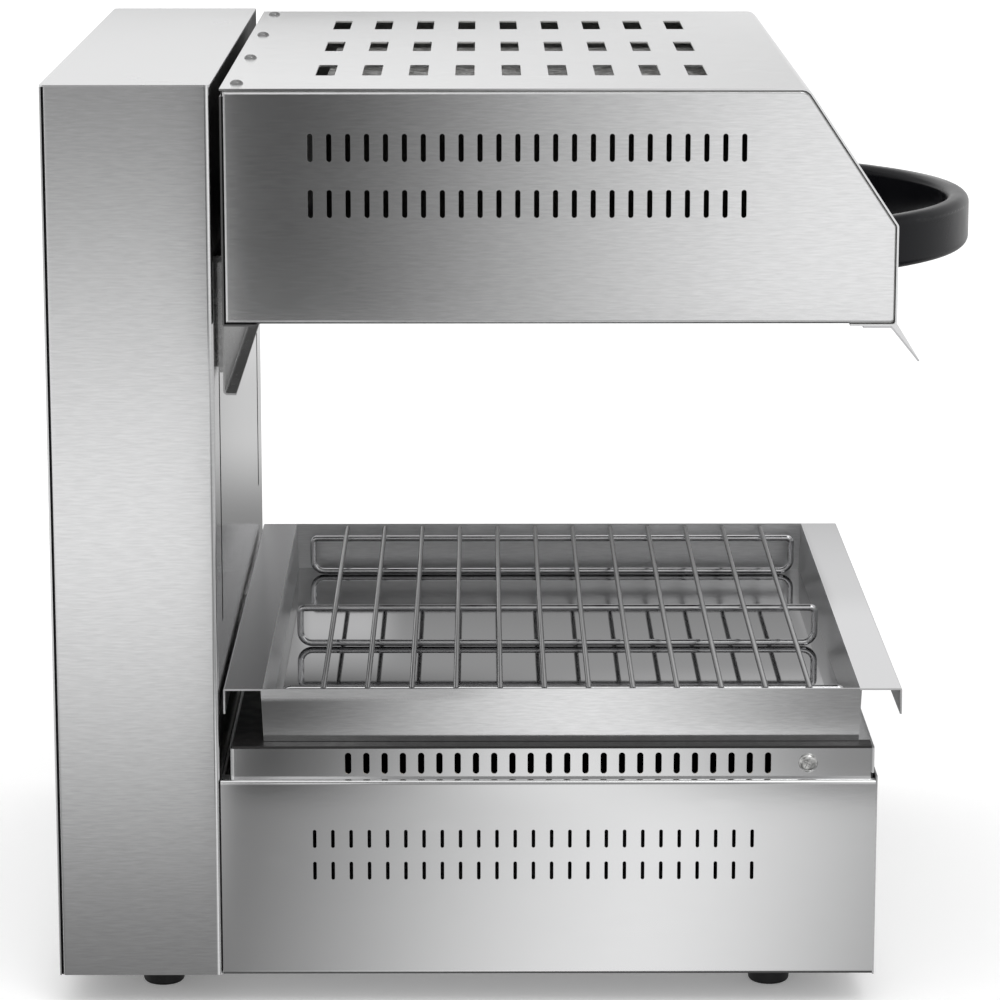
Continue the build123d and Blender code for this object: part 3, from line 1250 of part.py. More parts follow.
def pulley_brackets():
    """Two cheeks and a foot on the rear panel for each pulley."""
    inner = PULLEY_WIDTH / 2 + CHEEK_PLAY
    outer = inner + CHEEK_SHEET
    z_span = (PULLEY_HEIGHT - CHEEK_HEIGHT / 2, PULLEY_HEIGHT + CHEEK_HEIGHT / 2)
    front = PULLEY_DEPTH + CHEEK_HEIGHT / 4
    solids = []
    for x in (-PULLEY_SPACING, PULLEY_SPACING):
        bracket = block((x - outer, x + outer), (SHEET, front), z_span)
        bracket -= block((x - inner, x + inner), (SHEET + CHEEK_SHEET, front + 1), z_span)
        foot_x = outer + 2 * CHEEK_SHEET
        bracket += block((x - foot_x, x + foot_x), (SHEET, SHEET + CHEEK_SHEET), z_span)
        bracket -= crosswise(PULLEY_DEPTH, PULLEY_HEIGHT, x - WIDTH, x + WIDTH, AXLE_RADIUS + RUNNING)
        solids.append(bracket)
    return Compound(children=solids)


def cable_wraps():
    """Half turn of cable over each pulley."""
    solids = []
    for x in (-PULLEY_SPACING, PULLEY_SPACING):
        start = (x, y_at(WEIGHT_DEPTH), PULLEY_HEIGHT)
        top = (x, y_at(PULLEY_DEPTH), PULLEY_HEIGHT + PULLEY_PITCH_RADIUS)
        end = (x, y_at(CARRIAGE_CABLE_DEPTH), PULLEY_HEIGHT)
        path = ThreePointArc(start, top, end)
        section = Plane(origin=start, z_dir=(0, 0, 1)) * Circle(CABLE_RADIUS)
        solids.append(sweep(section, path=path))
    return Compound(children=solids)


def straight_cables(depth, z0):
    sides = (-PULLEY_SPACING, PULLEY_SPACING)
    return Compound(children=[upright(x, depth, z0, PULLEY_HEIGHT, CABLE_RADIUS) for x in sides])


# ------------------------------------------------------------------ every sub-part
NODES = {
    "column_shell": column_shell(),
    "column_cap": column_cap(),
    "column_floor": column_floor(),
    "column_back": column_back(),
    "back_screws": back_screws(),
    "cord_gland": cord_gland(),
    "base_shell": base_shell(),
    "base_bulkhead": base_bulkhead(),
    "chassis_bolts": chassis_bolts(),
    "control_panel": control_panel(),
    "terminal_block": terminal_block(),
    "energy_regulator": energy_regulator(),
    "regulator_spindle": regulator_spindle(),
    "knob": knob(),
    "switch_housing": switch_housing(),
    "rocker": rocker(),
    "power_lamp": lamp(POWER_LAMP_X),
    "heat_lamp": lamp(HEAT_LAMP_X),
    "plinth_frame": plinth_frame(),
    "plinth_deck": plinth_deck(),
    "plinth_screws": plinth_screws(),
    "feet": feet(),
    "foot_studs": foot_studs(),
    "drip_tray": drip_tray(),
    "rack_crosswires": rack_crosswires(),
    "rack_loops": rack_loops(),
    "hood_cover": hood_cover(),
    "hood_side_left": hood_side_left(),
    "hood_side_right": hood_side_right(),
    "hood_back": hood_back(),
    "rear_skirt": rear_skirt(),
    "front_lip": front_lip(),
    "cover_screws": cover_screws(),
    "handle": handle(),
    "handle_screws": handle_screws(),
    "reflector": reflector(),
    "heating_elements": heating_elements(),
    "heater_terminals": heater_terminals(),
    "heater_hangers": heater_hangers(),
    "insulation": insulation(),
    "heat_shield": heat_shield(),
    "lift_arms": lift_arms(),
    "arm_bolts": arm_bolts(),
    "carriage_plate": carriage_plate(),
    "bearing_blocks": bearing_blocks(),
    "bushes": bushes(),
    "guide_rods": guide_rods(),
    "rod_blocks": rod_blocks(),
    "stop_buffers": stop_buffers(),
    "counterweight": counterweight(),
    "weight_guides": weight_guides(),
    "pulley_left": pulley_at(-PULLEY_SPACING),
    "pulley_right": pulley_at(PULLEY_SPACING),
    "pulley_axles": pulley_axles(),
    "pulley_brackets": pulley_brackets(),
    "cable_wraps": cable_wraps(),
    "carriage_cables": straight_cables(CARRIAGE_CABLE_DEPTH, TAB_TOP + ANCHOR_HEIGHT),
    "weight_cables": straight_cables(WEIGHT_DEPTH, WEIGHT_TOP + ANCHOR_HEIGHT),
}

for name, shape in NODES.items():
    export_step(shape, f"parts/{name}.step")
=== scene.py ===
import math

import bpy
from mathutils import Euler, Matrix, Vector


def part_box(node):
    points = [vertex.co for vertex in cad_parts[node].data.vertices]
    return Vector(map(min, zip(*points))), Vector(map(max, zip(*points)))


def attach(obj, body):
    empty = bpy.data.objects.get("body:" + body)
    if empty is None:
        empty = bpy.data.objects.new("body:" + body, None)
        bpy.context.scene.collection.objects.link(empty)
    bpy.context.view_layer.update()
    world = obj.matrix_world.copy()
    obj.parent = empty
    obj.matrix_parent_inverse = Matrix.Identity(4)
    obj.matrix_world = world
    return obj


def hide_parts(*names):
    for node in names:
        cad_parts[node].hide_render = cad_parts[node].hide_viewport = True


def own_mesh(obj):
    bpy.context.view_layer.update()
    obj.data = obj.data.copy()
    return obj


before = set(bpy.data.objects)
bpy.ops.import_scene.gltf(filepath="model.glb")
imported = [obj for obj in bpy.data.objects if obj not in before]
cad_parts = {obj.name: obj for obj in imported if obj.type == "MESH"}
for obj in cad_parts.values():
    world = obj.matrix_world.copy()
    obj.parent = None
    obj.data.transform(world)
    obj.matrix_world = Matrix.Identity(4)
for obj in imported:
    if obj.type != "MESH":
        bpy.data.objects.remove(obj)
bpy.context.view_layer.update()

scene = bpy.context.scene

# ---------------------------------------- column: shell, cap, back panel and floor plate
# One sheet of stainless folded round the front and both sides, with a cap, a back panel and a floor plate.
# The sides are brushed along the depth, the front upright and a little smoother, and inside it is dull and
# painted near black, as painted shade.
# The back panel is screwed on.
STEEL = (0.78, 0.782, 0.786)
INSIDE_PAINTED_SHADE = (0.018, 0.018, 0.019)
INSIDE_ROUGHNESS = 0.3
# streaks to the metre along X, Y and Z
SIDE_BRUSHING = (210, 105, 950)
UPRIGHT_BRUSHING = (320, 320, 3)
FRONT_CONTRAST = 0.16
SCRATCH_TONE = 0.03


def add(tree, kind, **settings):
    """A new node of one kind, with its settings."""
    node = tree.nodes.new(kind)
    for name, value in settings.items():
        setattr(node, name, value)
    return node


def feed(tree, node, **values):
    """Gives a node's inputs their values: a socket is linked, anything else is typed in."""
    for name, value in values.items():
        slot = node.inputs[name.replace("_", " ")]
        if isinstance(value, bpy.types.NodeSocket):
            tree.links.new(value, slot)
        else:
            slot.default_value = value
    return node


def sums(tree, operation, *values):
    """The result of a Math node over sockets and numbers."""
    node = add(tree, "ShaderNodeMath", operation=operation)
    for slot, value in zip(node.inputs, values):
        if isinstance(value, bpy.types.NodeSocket):
            tree.links.new(value, slot)
        else:
            slot.default_value = value
    return node.outputs[0]


def ramp(tree, value, start, end, low=0.0, high=1.0):
    """A smooth step from low at start to high at end."""
    node = add(tree, "ShaderNodeMapRange", interpolation_type="SMOOTHSTEP")
    feed(tree, node, Value=value, From_Min=start, From_Max=end, To_Min=low, To_Max=high)
    return node.outputs["Result"]


def colour_mix(tree, factor, first, second, blend="MIX"):
    """The colour between two, by a factor."""
    node = add(tree, "ShaderNodeMix", data_type="RGBA", blend_type=blend)
    feed(tree, node, Factor=factor, A=first, B=second)
    return node.outputs["Result"]


def noise(tree, vector, scale, detail=2.0, roughness=0.5):
    """A noise from 0 to 1."""
    node = add(tree, "ShaderNodeTexNoise")
    feed(tree, node, Vector=vector, Scale=scale, Detail=detail, Roughness=roughness)
    return node.outputs["Fac"]


def open_group(name, takes, gives):
    """An empty shader group with its named inputs and its plain outputs."""
    group = bpy.data.node_groups.new(name, "ShaderNodeTree")
    for title, kind, value in takes:
        group.interface.new_socket(title, in_out="INPUT", socket_type=kind).default_value = value
    for title in gives:
        group.interface.new_socket(title, in_out="OUTPUT", socket_type="NodeSocketFloat")
    return group, add(group, "NodeGroupInput"), add(group, "NodeGroupOutput")


def brushing_group():
    """Brushed streaks, so many to the metre along each axis, with a few scratches and slow hand marks."""
    takes = (
        ("Streaks", "NodeSocketVector", SIDE_BRUSHING),
        ("Contrast", "NodeSocketFloat", 0.1),
        ("Hand Marks", "NodeSocketFloat", 0.05),
    )
    group, entry, leave = open_group("Brushing", takes, ("Tone", "Marks", "Height"))
    place = add(group, "ShaderNodeTexCoord").outputs["Object"]
    stretched = add(group, "ShaderNodeVectorMath", operation="MULTIPLY")
    group.links.new(place, stretched.inputs[0])
    group.links.new(entry.outputs["Streaks"], stretched.inputs[1])
    streaks = noise(group, stretched.outputs["Vector"], 1.0, 3.0, 0.65)
    scratches = ramp(group, noise(group, stretched.outputs["Vector"], 0.31, 1.0), 0.7, 0.78)
    marks = noise(group, place, 9.0, 3.0, 0.6)
    centred = sums(group, "SUBTRACT", streaks, 0.5)
    tone = sums(group, "MULTIPLY_ADD", centred, entry.outputs["Contrast"], 1.0)
    hands = sums(group, "SUBTRACT", marks, 0.5)
    slow = sums(group, "MULTIPLY_ADD", hands, entry.outputs["Hand Marks"], tone)
    scratched = sums(group, "MULTIPLY_ADD", scratches, SCRATCH_TONE, slow)
    feed(group, leave, Tone=scratched, Marks=marks, Height=streaks)
    return group


def facing_group():
    """Masks of the faces that look in at a centre, forward, or up."""
    takes = (("Centre", "NodeSocketVector", (0, 0, 0)),)
    group, entry, leave = open_group("Facing", takes, ("Inside", "Forward", "Up"))
    coordinates = add(group, "ShaderNodeTexCoord")
    offset = add(group, "ShaderNodeVectorMath", operation="SUBTRACT")
    group.links.new(coordinates.outputs["Object"], offset.inputs[0])
    group.links.new(entry.outputs["Centre"], offset.inputs[1])
    outward = add(group, "ShaderNodeVectorMath", operation="DOT_PRODUCT")
    group.links.new(offset.outputs["Vector"], outward.inputs[0])
    group.links.new(coordinates.outputs["Normal"], outward.inputs[1])
    axes = add(group, "ShaderNodeSeparateXYZ")
    group.links.new(coordinates.outputs["Normal"], axes.inputs[0])
    inside = ramp(group, outward.outputs["Value"], -0.001, -0.006)
    forward = ramp(group, axes.outputs["Y"], -0.8, -0.98)
    up = ramp(group, axes.outputs["Z"], 0.8, 0.98)
    feed(group, leave, Inside=inside, Forward=forward, Up=up)
    return group


brushing = brushing_group()
facing = facing_group()


def middle_of(*nodes):
    """Middle of the box round some CAD nodes."""
    lows, highs = zip(*(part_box(name) for name in nodes))
    low = Vector([min(corner[axis] for corner in lows) for axis in range(3)])
    high = Vector([max(corner[axis] for corner in highs) for axis in range(3)])
    return tuple((low + high) / 2)


def new_material(name, **plain):
    """A material with a Principled shader, and its sockets that keep one value."""
    material = bpy.data.materials.new(name)
    material.use_nodes = True
    tree = material.node_tree
    shader = tree.nodes["Principled BSDF"]
    return material, tree, feed(tree, shader, **plain)


def toned(colour, share=1.0):
    """A colour made darker or lighter by a share, as a socket takes it."""
    return (*(share * part for part in colour), 1)


def group_node(tree, group, **values):
    """A shared group placed in a material with its own values."""
    return feed(tree, add(tree, "ShaderNodeGroup", node_tree=group), **values)


def bumped(tree, height, strength, depth):
    """A normal pushed about by a height."""
    bump = feed(tree, add(tree, "ShaderNodeBump"), Strength=strength, Distance=depth, Height=height)
    return bump.outputs["Normal"]


def sheet_steel(name, centre, colour=STEEL, finish=0.15, streaks=SIDE_BRUSHING, contrast=0.3, front=None,
                lining_and_shade=INSIDE_PAINTED_SHADE):
    """Stainless sheet: brushed or satin outside, dull inside in a lining colour that is near black painted
    shade unless one is given, with its front face finished apart.
    """
    material, tree, shader = new_material(name)
    grain = group_node(tree, brushing, Streaks=streaks, Contrast=contrast)
    side = group_node(tree, facing, Centre=centre)
    tint = colour_mix(tree, 1.0, toned(colour), grain.outputs["Tone"], "MULTIPLY")
    soft = sums(tree, "MULTIPLY_ADD", grain.outputs["Marks"], 0.08, finish - 0.04)
    height = grain.outputs["Height"]
    if front is not None:
        upright = group_node(tree, brushing, Streaks=UPRIGHT_BRUSHING, Contrast=FRONT_CONTRAST)
        front_tint = colour_mix(tree, 1.0, toned(colour), upright.outputs["Tone"], "MULTIPLY")
        tint = colour_mix(tree, side.outputs["Forward"], tint, front_tint)
        gap = sums(tree, "SUBTRACT", front, soft)
        soft = sums(tree, "MULTIPLY_ADD", side.outputs["Forward"], gap, soft)
    dull = sums(tree, "MULTIPLY_ADD", side.outputs["Inside"], INSIDE_ROUGHNESS, soft)
    # Inner faces take the lining colour, by default near black as painted shade in the gaps and slots.
    colour_out = colour_mix(tree, side.outputs["Inside"], tint, toned(lining_and_shade))
    bare = sums(tree, "SUBTRACT", 1.0, side.outputs["Inside"])
    feed(tree, shader, Base_Color=colour_out, Metallic=bare, Roughness=dull,
         Normal=bumped(tree, height, 0.12, 0.0001))
    return material


def finish_nodes(material, *nodes):
    """Puts a material on every face of these CAD nodes."""
    for name in nodes:
        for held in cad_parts[name].material_slots:
            held.material = material


column_middle = middle_of("column_shell")
finish_nodes(sheet_steel("column_sheet", column_middle, front=0.13), "column_shell")
column_lid = sheet_steel("column_lid", column_middle, finish=0.26, contrast=0.05)
finish_nodes(column_lid, "column_cap", "column_back")


def plated_steel(name, colour=(0.42, 0.42, 0.41), finish=0.42):
    """Plated or ground metal: a fine crystalline cloud in its tone and its polish."""
    material, tree, shader = new_material(name, Metallic=1.0)
    place = add(tree, "ShaderNodeTexCoord").outputs["Object"]
    cloud = noise(tree, place, 240.0, 4.0, 0.6)
    tint = colour_mix(tree, cloud, toned(colour, 0.72), toned(colour, 1.18))
    feed(tree, shader, Base_Color=tint, Roughness=ramp(tree, cloud, 0.3, 0.7, finish - 0.08, finish + 0.1),
         Normal=bumped(tree, cloud, 0.08, 0.0001))
    return material


zinc = plated_steel("zinc_plate")
finish_nodes(zinc, "column_floor")
finish_nodes(plated_steel("gland_thread_black", (0.02, 0.02, 0.02), 0.5), "cord_gland")

# ---------------------------------------- lift gear in the column
# Ground guide rods in clamp blocks, a carriage on bronze bushes, and a cast counterweight on two cables.
# The arms are bent from thick plate, come out through the slots and are bolted behind the hood.
finish_nodes(zinc, "carriage_plate", "bearing_blocks", "rod_blocks", "weight_guides", "pulley_brackets")
finish_nodes(plated_steel("arm_plate", (0.5, 0.5, 0.5), 0.3), "lift_arms")
finish_nodes(plated_steel("ground_rod", (0.62, 0.62, 0.62), 0.12), "guide_rods", "pulley_axles")
finish_nodes(plated_steel("bronze", (0.5, 0.33, 0.12), 0.35), "bushes")


def stranded_cable():
    """Galvanised cable: fine slanting ridges, light on the crowns and dark in the grooves as painted shade.
    """
    material, tree, shader = new_material("cable_strands", Metallic=1.0)
    lay = feed(tree, add(tree, "ShaderNodeMapping"), Rotation=(0.5, 0.5, 0))
    tree.links.new(add(tree, "ShaderNodeTexCoord").outputs["Object"], lay.inputs["Vector"])
    ridges = add(tree, "ShaderNodeTexWave", wave_type="BANDS", bands_direction="Z")
    feed(tree, ridges, Vector=lay.outputs["Vector"], Scale=220.0)
    strand = ridges.outputs["Fac"]
    # The grooves between the ridges are painted dark, as painted shade.
    tint = colour_mix(tree, strand, (0.1, 0.1, 0.1, 1), (0.55, 0.55, 0.55, 1))
    feed(tree, shader, Base_Color=tint, Roughness=ramp(tree, strand, 0, 1, 0.5, 0.3),
         Normal=bumped(tree, strand, 0.5, 0.0002))
    return material


STRANDS = 6
STRANDS_ACROSS = 3.0
LAY_LENGTH = 0.021


def made_real(tree, placed, metal, leave):
    """Ends a tree: the instances become one mesh of one metal."""
    solid = feed(tree, add(tree, "GeometryNodeRealizeInstances"), Geometry=placed.outputs[0])
    coated = feed(tree, add(tree, "GeometryNodeSetMaterial"), Geometry=solid.outputs[0], Material=metal)
    tree.links.new(coated.outputs[0], leave.inputs[0])


def cable_tree():
    """Geometry Nodes: on each point an upright cable, six strands laid round a core."""
    tree = bpy.data.node_groups.new("Laid cable", "GeometryNodeTree")
    face = tree.interface
    face.new_socket("Places", in_out="INPUT", socket_type="NodeSocketGeometry")
    for title, value in (("Cable Radius", 0.0015), ("Run Length", 0.1), ("Turns", 5.0)):
        face.new_socket(title, in_out="INPUT", socket_type="NodeSocketFloat").default_value = value
    face.new_socket("Metal", in_out="INPUT", socket_type="NodeSocketMaterial")
    face.new_socket("Cables", in_out="OUTPUT", socket_type="NodeSocketGeometry")
    entry = add(tree, "NodeGroupInput").outputs
    leave = add(tree, "NodeGroupOutput")
    strand_radius = sums(tree, "DIVIDE", entry["Cable Radius"], STRANDS_ACROSS)
    ring = feed(tree, add(tree, "GeometryNodeCurvePrimitiveCircle"), Resolution=7, Radius=strand_radius)
    laid = add(tree, "GeometryNodeJoinGeometry")
    for spread, count in ((2.0, STRANDS), (0.0, 1)):
        helix = add(tree, "GeometryNodeCurveSpiral")
        reach = sums(tree, "MULTIPLY", strand_radius, spread)
        feed(tree, helix, Resolution=10, Rotations=entry["Turns"], Start_Radius=reach, End_Radius=reach,
             Height=entry["Run Length"])
        tube = add(tree, "GeometryNodeCurveToMesh")
        feed(tree, tube, Curve=helix.outputs[0], Profile_Curve=ring.outputs[0], Fill_Caps=True)
        for index in range(count):
            turned = add(tree, "GeometryNodeTransform")
            feed(tree, turned, Geometry=tube.outputs[0], Rotation=(0.0, 0.0, index * math.tau / STRANDS))
            tree.links.new(turned.outputs[0], laid.inputs[0])
    placed = add(tree, "GeometryNodeInstanceOnPoints")
    feed(tree, placed, Points=entry["Places"], Instance=laid.outputs[0])
    made_real(tree, placed, entry["Metal"], leave)
    return tree


def grown(name, tree, points, **values):
    """A plain mesh piece, grown by a tree from a few points, with the tree's inputs set by identifier."""
    seed_mesh = bpy.data.meshes.new(name + "_places")
    seed_mesh.from_pydata(points, [], [])
    seed = bpy.data.objects.new(name + "_places", seed_mesh)
    scene.collection.objects.link(seed)
    modifier = seed.modifiers.new("grown", "NODES")
    modifier.node_group = tree
    for item in tree.interface.items_tree:
        key = item.name.replace(" ", "_")
        if item.in_out == "INPUT" and key in values:
            modifier[item.identifier] = values[key]
    seed.update_tag()
    ready = seed.evaluated_get(bpy.context.evaluated_depsgraph_get())
    mesh = bpy.data.meshes.new_from_object(ready)
    seed.modifiers.remove(modifier)
    bpy.data.objects.remove(seed)
    mesh.name = name
    piece = bpy.data.objects.new(name, mesh)
    scene.collection.objects.link(piece)
    return piece


def cable_runs(name, node, body):
    """The two cable runs that stand for a CAD node."""
    low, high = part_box(node)
    radius = (high[1] - low[1]) / 2
    spots = [(low[0] + radius, low[1] + radius, low[2]), (high[0] - radius, low[1] + radius, low[2])]
    length = high[2] - low[2]
    piece = grown(name, laid_cable, spots, Cable_Radius=radius, Run_Length=length, Turns=length / LAY_LENGTH,
                  Metal=cable_steel)
    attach(piece, body)
    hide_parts(node)
    return piece, low, length


laid_cable = cable_tree()
cable_steel = stranded_cable()
finish_nodes(cable_steel, "cable_wraps")
cable_runs("hood_cable_runs", "carriage_cables", "hood")
weight_runs, weight_hook, run_length = cable_runs("weight_cable_runs", "weight_cables", "weight")
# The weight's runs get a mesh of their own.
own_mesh(weight_runs)


def cast_iron():
    """Painted grey casting with a pitted skin."""
    material, tree, shader = new_material("cast_iron", Metallic=0.0)
    place = add(tree, "ShaderNodeTexCoord").outputs["Object"]
    pits = noise(tree, place, 420.0, 5.0, 0.7)
    tint = colour_mix(tree, noise(tree, place, 26.0, 3.0), (0.05, 0.052, 0.055, 1), (0.1, 0.1, 0.1, 1))
    feed(tree, shader, Base_Color=tint, Roughness=ramp(tree, pits, 0.3, 0.7, 0.5, 0.75),
         Normal=bumped(tree, pits, 0.5, 0.0004))
    return material


finish_nodes(cast_iron(), "counterweight")


def moulded(name, colour, finish, grain=1400.0, depth=0.00006, index=1.38):
    """Moulded plastic or rubber: a fine spark-eroded grain, and polish that varies in patches."""
    material, tree, shader = new_material(name, Metallic=0.0, IOR=index)
    place = add(tree, "ShaderNodeTexCoord").outputs["Object"]
    skin = noise(tree, place, grain, 2.0)
    rub = noise(tree, place, 14.0, 3.0, 0.6)
    tint = colour_mix(tree, rub, toned(colour, 0.8), toned(colour, 1.25))
    feed(tree, shader, Base_Color=tint, Roughness=ramp(tree, rub, 0.3, 0.7, finish - 0.05, finish + 0.07),
         Normal=bumped(tree, skin, 0.35, depth))
    return material


finish_nodes(moulded("pulley_nylon", (0.016, 0.016, 0.017), 0.4), "pulley_left", "pulley_right")
rubber = moulded("foot_rubber", (0.018, 0.018, 0.019), 0.62, 900.0, 0.0002)
finish_nodes(rubber, "stop_buffers")

# ---------------------------------------- base: shell, bulkhead and feet
# A tube of folded stainless that carries the controls, closed behind by a bulkhead bolted to the column.
# Its skin is satin rather than brushed.  Four tapered rubber feet hold it off the table.
base_middle = middle_of("base_shell")
satin = {"finish": 0.13, "streaks": (40, 40, 120), "contrast": 0.03}
finish_nodes(sheet_steel("base_sheet", base_middle, **satin), "base_shell")
finish_nodes(zinc, "base_bulkhead", "foot_studs", "chassis_bolts")
finish_nodes(rubber, "feet")

# ---------------------------------------- plinth and deck
# A slotted frame of bright sheet on the base, with a dark enamelled plate that the tray stands on.
# The plate stops short in front between two narrow tongues.
plinth_middle = middle_of("plinth_frame")
finish_nodes(sheet_steel("plinth_sheet", plinth_middle, lining_and_shade=(0.55, 0.5, 0.42), **satin), "plinth_frame")


def enamel(name, colour, finish):
    """Fired enamel: a glassy coat with slight orange peel over a dark ground."""
    material, tree, shader = new_material(name, Metallic=0.0, Coat_Roughness=0.15)
    place = add(tree, "ShaderNodeTexCoord").outputs["Object"]
    peel = noise(tree, place, 160.0, 2.0)
    tint = colour_mix(tree, peel, toned(colour, 0.7), toned(colour, 1.3))
    feed(tree, shader, Base_Color=tint, Roughness=ramp(tree, peel, 0.3, 0.7, finish - 0.06, finish + 0.06),
         Coat_Weight=ramp(tree, peel, 0, 1, 0.2, 0.3), Normal=bumped(tree, peel, 0.2, 0.0002))
    return material


finish_nodes(enamel("deck_enamel", (0.012, 0.011, 0.011), 0.45), "plinth_deck")

# ---------------------------------------- cross-recess screws
# Domed zinc screws with a cross recess: four hold the hood's top cover and two the plinth.
# One tree sets a head and shank on every point of a small mesh, each turned its own way.
# The other screws and bolts are plain zinc.
HEAD_RADIUS = 0.0036
SCREW_SIZES = (
    ("Head Radius", HEAD_RADIUS),
    ("Head Rise", 0.0022),
    ("Shank Radius", 0.0019),
    ("Shank Length", 0.006),
)
SCREW_TWIST = 1.5
# shares of the way from the middle to the outer screws
COVER_SCREW_SHARES = (-1, -0.335, 0.335, 1)


def screw_tree():
    """Geometry Nodes: on each point a domed head with a cross recess and its shank, facing outward."""
    tree = bpy.data.node_groups.new("Cross recess screws", "GeometryNodeTree")
    face = tree.interface
    face.new_socket("Places", in_out="INPUT", socket_type="NodeSocketGeometry")
    for title, value in SCREW_SIZES:
        face.new_socket(title, in_out="INPUT", socket_type="NodeSocketFloat").default_value = value
    face.new_socket("Outward", in_out="INPUT", socket_type="NodeSocketVector").default_value = (0, 0, 1)
    face.new_socket("Seed", in_out="INPUT", socket_type="NodeSocketInt").default_value = 7
    face.new_socket("Metal", in_out="INPUT", socket_type="NodeSocketMaterial")
    face.new_socket("Screws", in_out="OUTPUT", socket_type="NodeSocketGeometry")
    entry = add(tree, "NodeGroupInput").outputs
    leave = add(tree, "NodeGroupOutput")

    def sized(x, y, z):
        return feed(tree, add(tree, "ShaderNodeCombineXYZ"), X=x, Y=y, Z=z).outputs[0]

    def moved(shape, **how):
        return feed(tree, add(tree, "GeometryNodeTransform"), Geometry=shape, **how).outputs[0]

    def joined(*shapes):
        node = add(tree, "GeometryNodeJoinGeometry")
        for shape in shapes:
            tree.links.new(shape, node.inputs[0])
        return node.outputs[0]

    radius = entry["Head Radius"]
    rise = entry["Head Rise"]
    ball = feed(tree, add(tree, "GeometryNodeMeshUVSphere"), Segments=36, Rings=20, Radius=1.0)
    smooth = feed(tree, add(tree, "GeometryNodeSetShadeSmooth"), Geometry=ball.outputs["Mesh"]).outputs[0]
    long_way = sums(tree, "MULTIPLY", radius, 1.15)
    short_way = sums(tree, "MULTIPLY", radius, 0.3)
    bars = []
    for size in (sized(long_way, short_way, rise), sized(short_way, long_way, rise)):
        bars.append(feed(tree, add(tree, "GeometryNodeMeshCube"), Size=size).outputs["Mesh"])
    recess = moved(joined(*bars), Translation=sized(0.0, 0.0, sums(tree, "MULTIPLY", rise, 0.7)))
    head = add(tree, "GeometryNodeMeshBoolean", operation="DIFFERENCE")
    tree.links.new(moved(smooth, Scale=sized(radius, radius, rise)), head.inputs[0])
    tree.links.new(recess, head.inputs[1])
    stem = add(tree, "GeometryNodeMeshCylinder")
    feed(tree, stem, Vertices=16, Radius=entry["Shank Radius"], Depth=entry["Shank Length"])
    half_down = sums(tree, "MULTIPLY", entry["Shank Length"], -0.5)
    stem_low = moved(stem.outputs["Mesh"], Translation=sized(0.0, 0.0, half_down))
    aim = add(tree, "ShaderNodeVectorMath", operation="MULTIPLY")
    tree.links.new(add(tree, "GeometryNodeInputPosition").outputs[0], aim.inputs[0])
    tree.links.new(entry["Outward"], aim.inputs[1])
    facing_out = add(tree, "FunctionNodeAlignRotationToVector", axis="Z")
    tree.links.new(aim.outputs["Vector"], facing_out.inputs["Vector"])
    twist = add(tree, "FunctionNodeRandomValue", data_type="FLOAT")
    tree.links.new(entry["Seed"], twist.inputs["Seed"])
    turned = add(tree, "FunctionNodeRotateRotation", rotation_space="LOCAL")
    tree.links.new(facing_out.outputs[0], turned.inputs[0])
    tree.links.new(sized(0.0, 0.0, sums(tree, "MULTIPLY", twist.outputs[1], SCREW_TWIST)), turned.inputs[1])
    placed = feed(tree, add(tree, "GeometryNodeInstanceOnPoints"), Points=entry["Places"],
                  Instance=joined(head.outputs["Mesh"], stem_low), Rotation=turned.outputs[0])
    made_real(tree, placed, entry["Metal"], leave)
    return tree


screws = screw_tree()
bright_zinc = plated_steel("bright_zinc", (0.6, 0.6, 0.59), 0.16)
# The hood's top screws take a darker copy of the zinc, as painted shade.
dull_zinc = plated_steel("dull_zinc", (0.3, 0.3, 0.3), 0.2)
finish_nodes(bright_zinc, "back_screws", "handle_screws", "arm_bolts")
cover_low, cover_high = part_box("cover_screws")
cover_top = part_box("hood_cover")[1][2]
cover_row = (cover_low[1] + cover_high[1]) / 2
cover_end = cover_high[0] - HEAD_RADIUS
cover_spots = [(share * cover_end, cover_row, cover_top) for share in COVER_SCREW_SHARES]
top_screws = grown("hood_top_screws", screws, cover_spots, Metal=dull_zinc)
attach(top_screws, "hood")
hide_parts("cover_screws")

side_low, side_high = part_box("plinth_screws")
side_spot = ((side_low[1] + side_high[1]) / 2, (side_low[2] + side_high[2]) / 2)
side_radius = (side_high[2] - side_low[2]) / 2
plinth_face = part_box("plinth_frame")[1][0]
side_screws = grown("plinth_side_screws", screws, [(side * plinth_face, *side_spot) for side in (-1, 1)],
                    Head_Radius=side_radius, Head_Rise=side_high[0] - plinth_face, Outward=(1.0, 0.0, 0.0),
                    Metal=bright_zinc)
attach(side_screws, "chassis")
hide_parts("plinth_screws")

# ---------------------------------------- drip tray
# A drawn pan of polished stainless that slides out to the front, with a folded flange at each end.
# Its floor is polished to a mirror, and the outer sides keep the brushing.
# The floor and both flanges have darker tones of their own, as painted reflection, fitted to the photograph.
TRAY_FLOOR_PAINTED_REFLECTION = (0.32, 0.32, 0.325)
FRONT_FLANGE_PAINTED_REFLECTION = (0.63, 0.63, 0.64)
REAR_FLANGE_PAINTED_REFLECTION = (0.42, 0.42, 0.43)
# depths below the rim between which the floor's painted reflection tone gives way to the flanges'
RIM_START = 0.008
RIM_END = 0.004
# where along Y the front flange's painted reflection tone and roughness give way to the rear's
FLANGE_CHANGE = (0.0, 0.05)
# height of the point above the tray that its inner faces look to
LOOKOUT = 0.25
OUTER_ROUGHNESS = 0.11
WALL_ROUGHER = 0.18
REAR_ROUGHER = 0.22
FLOOR_SMOOTHER = -0.24
tray_low, tray_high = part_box("drip_tray")


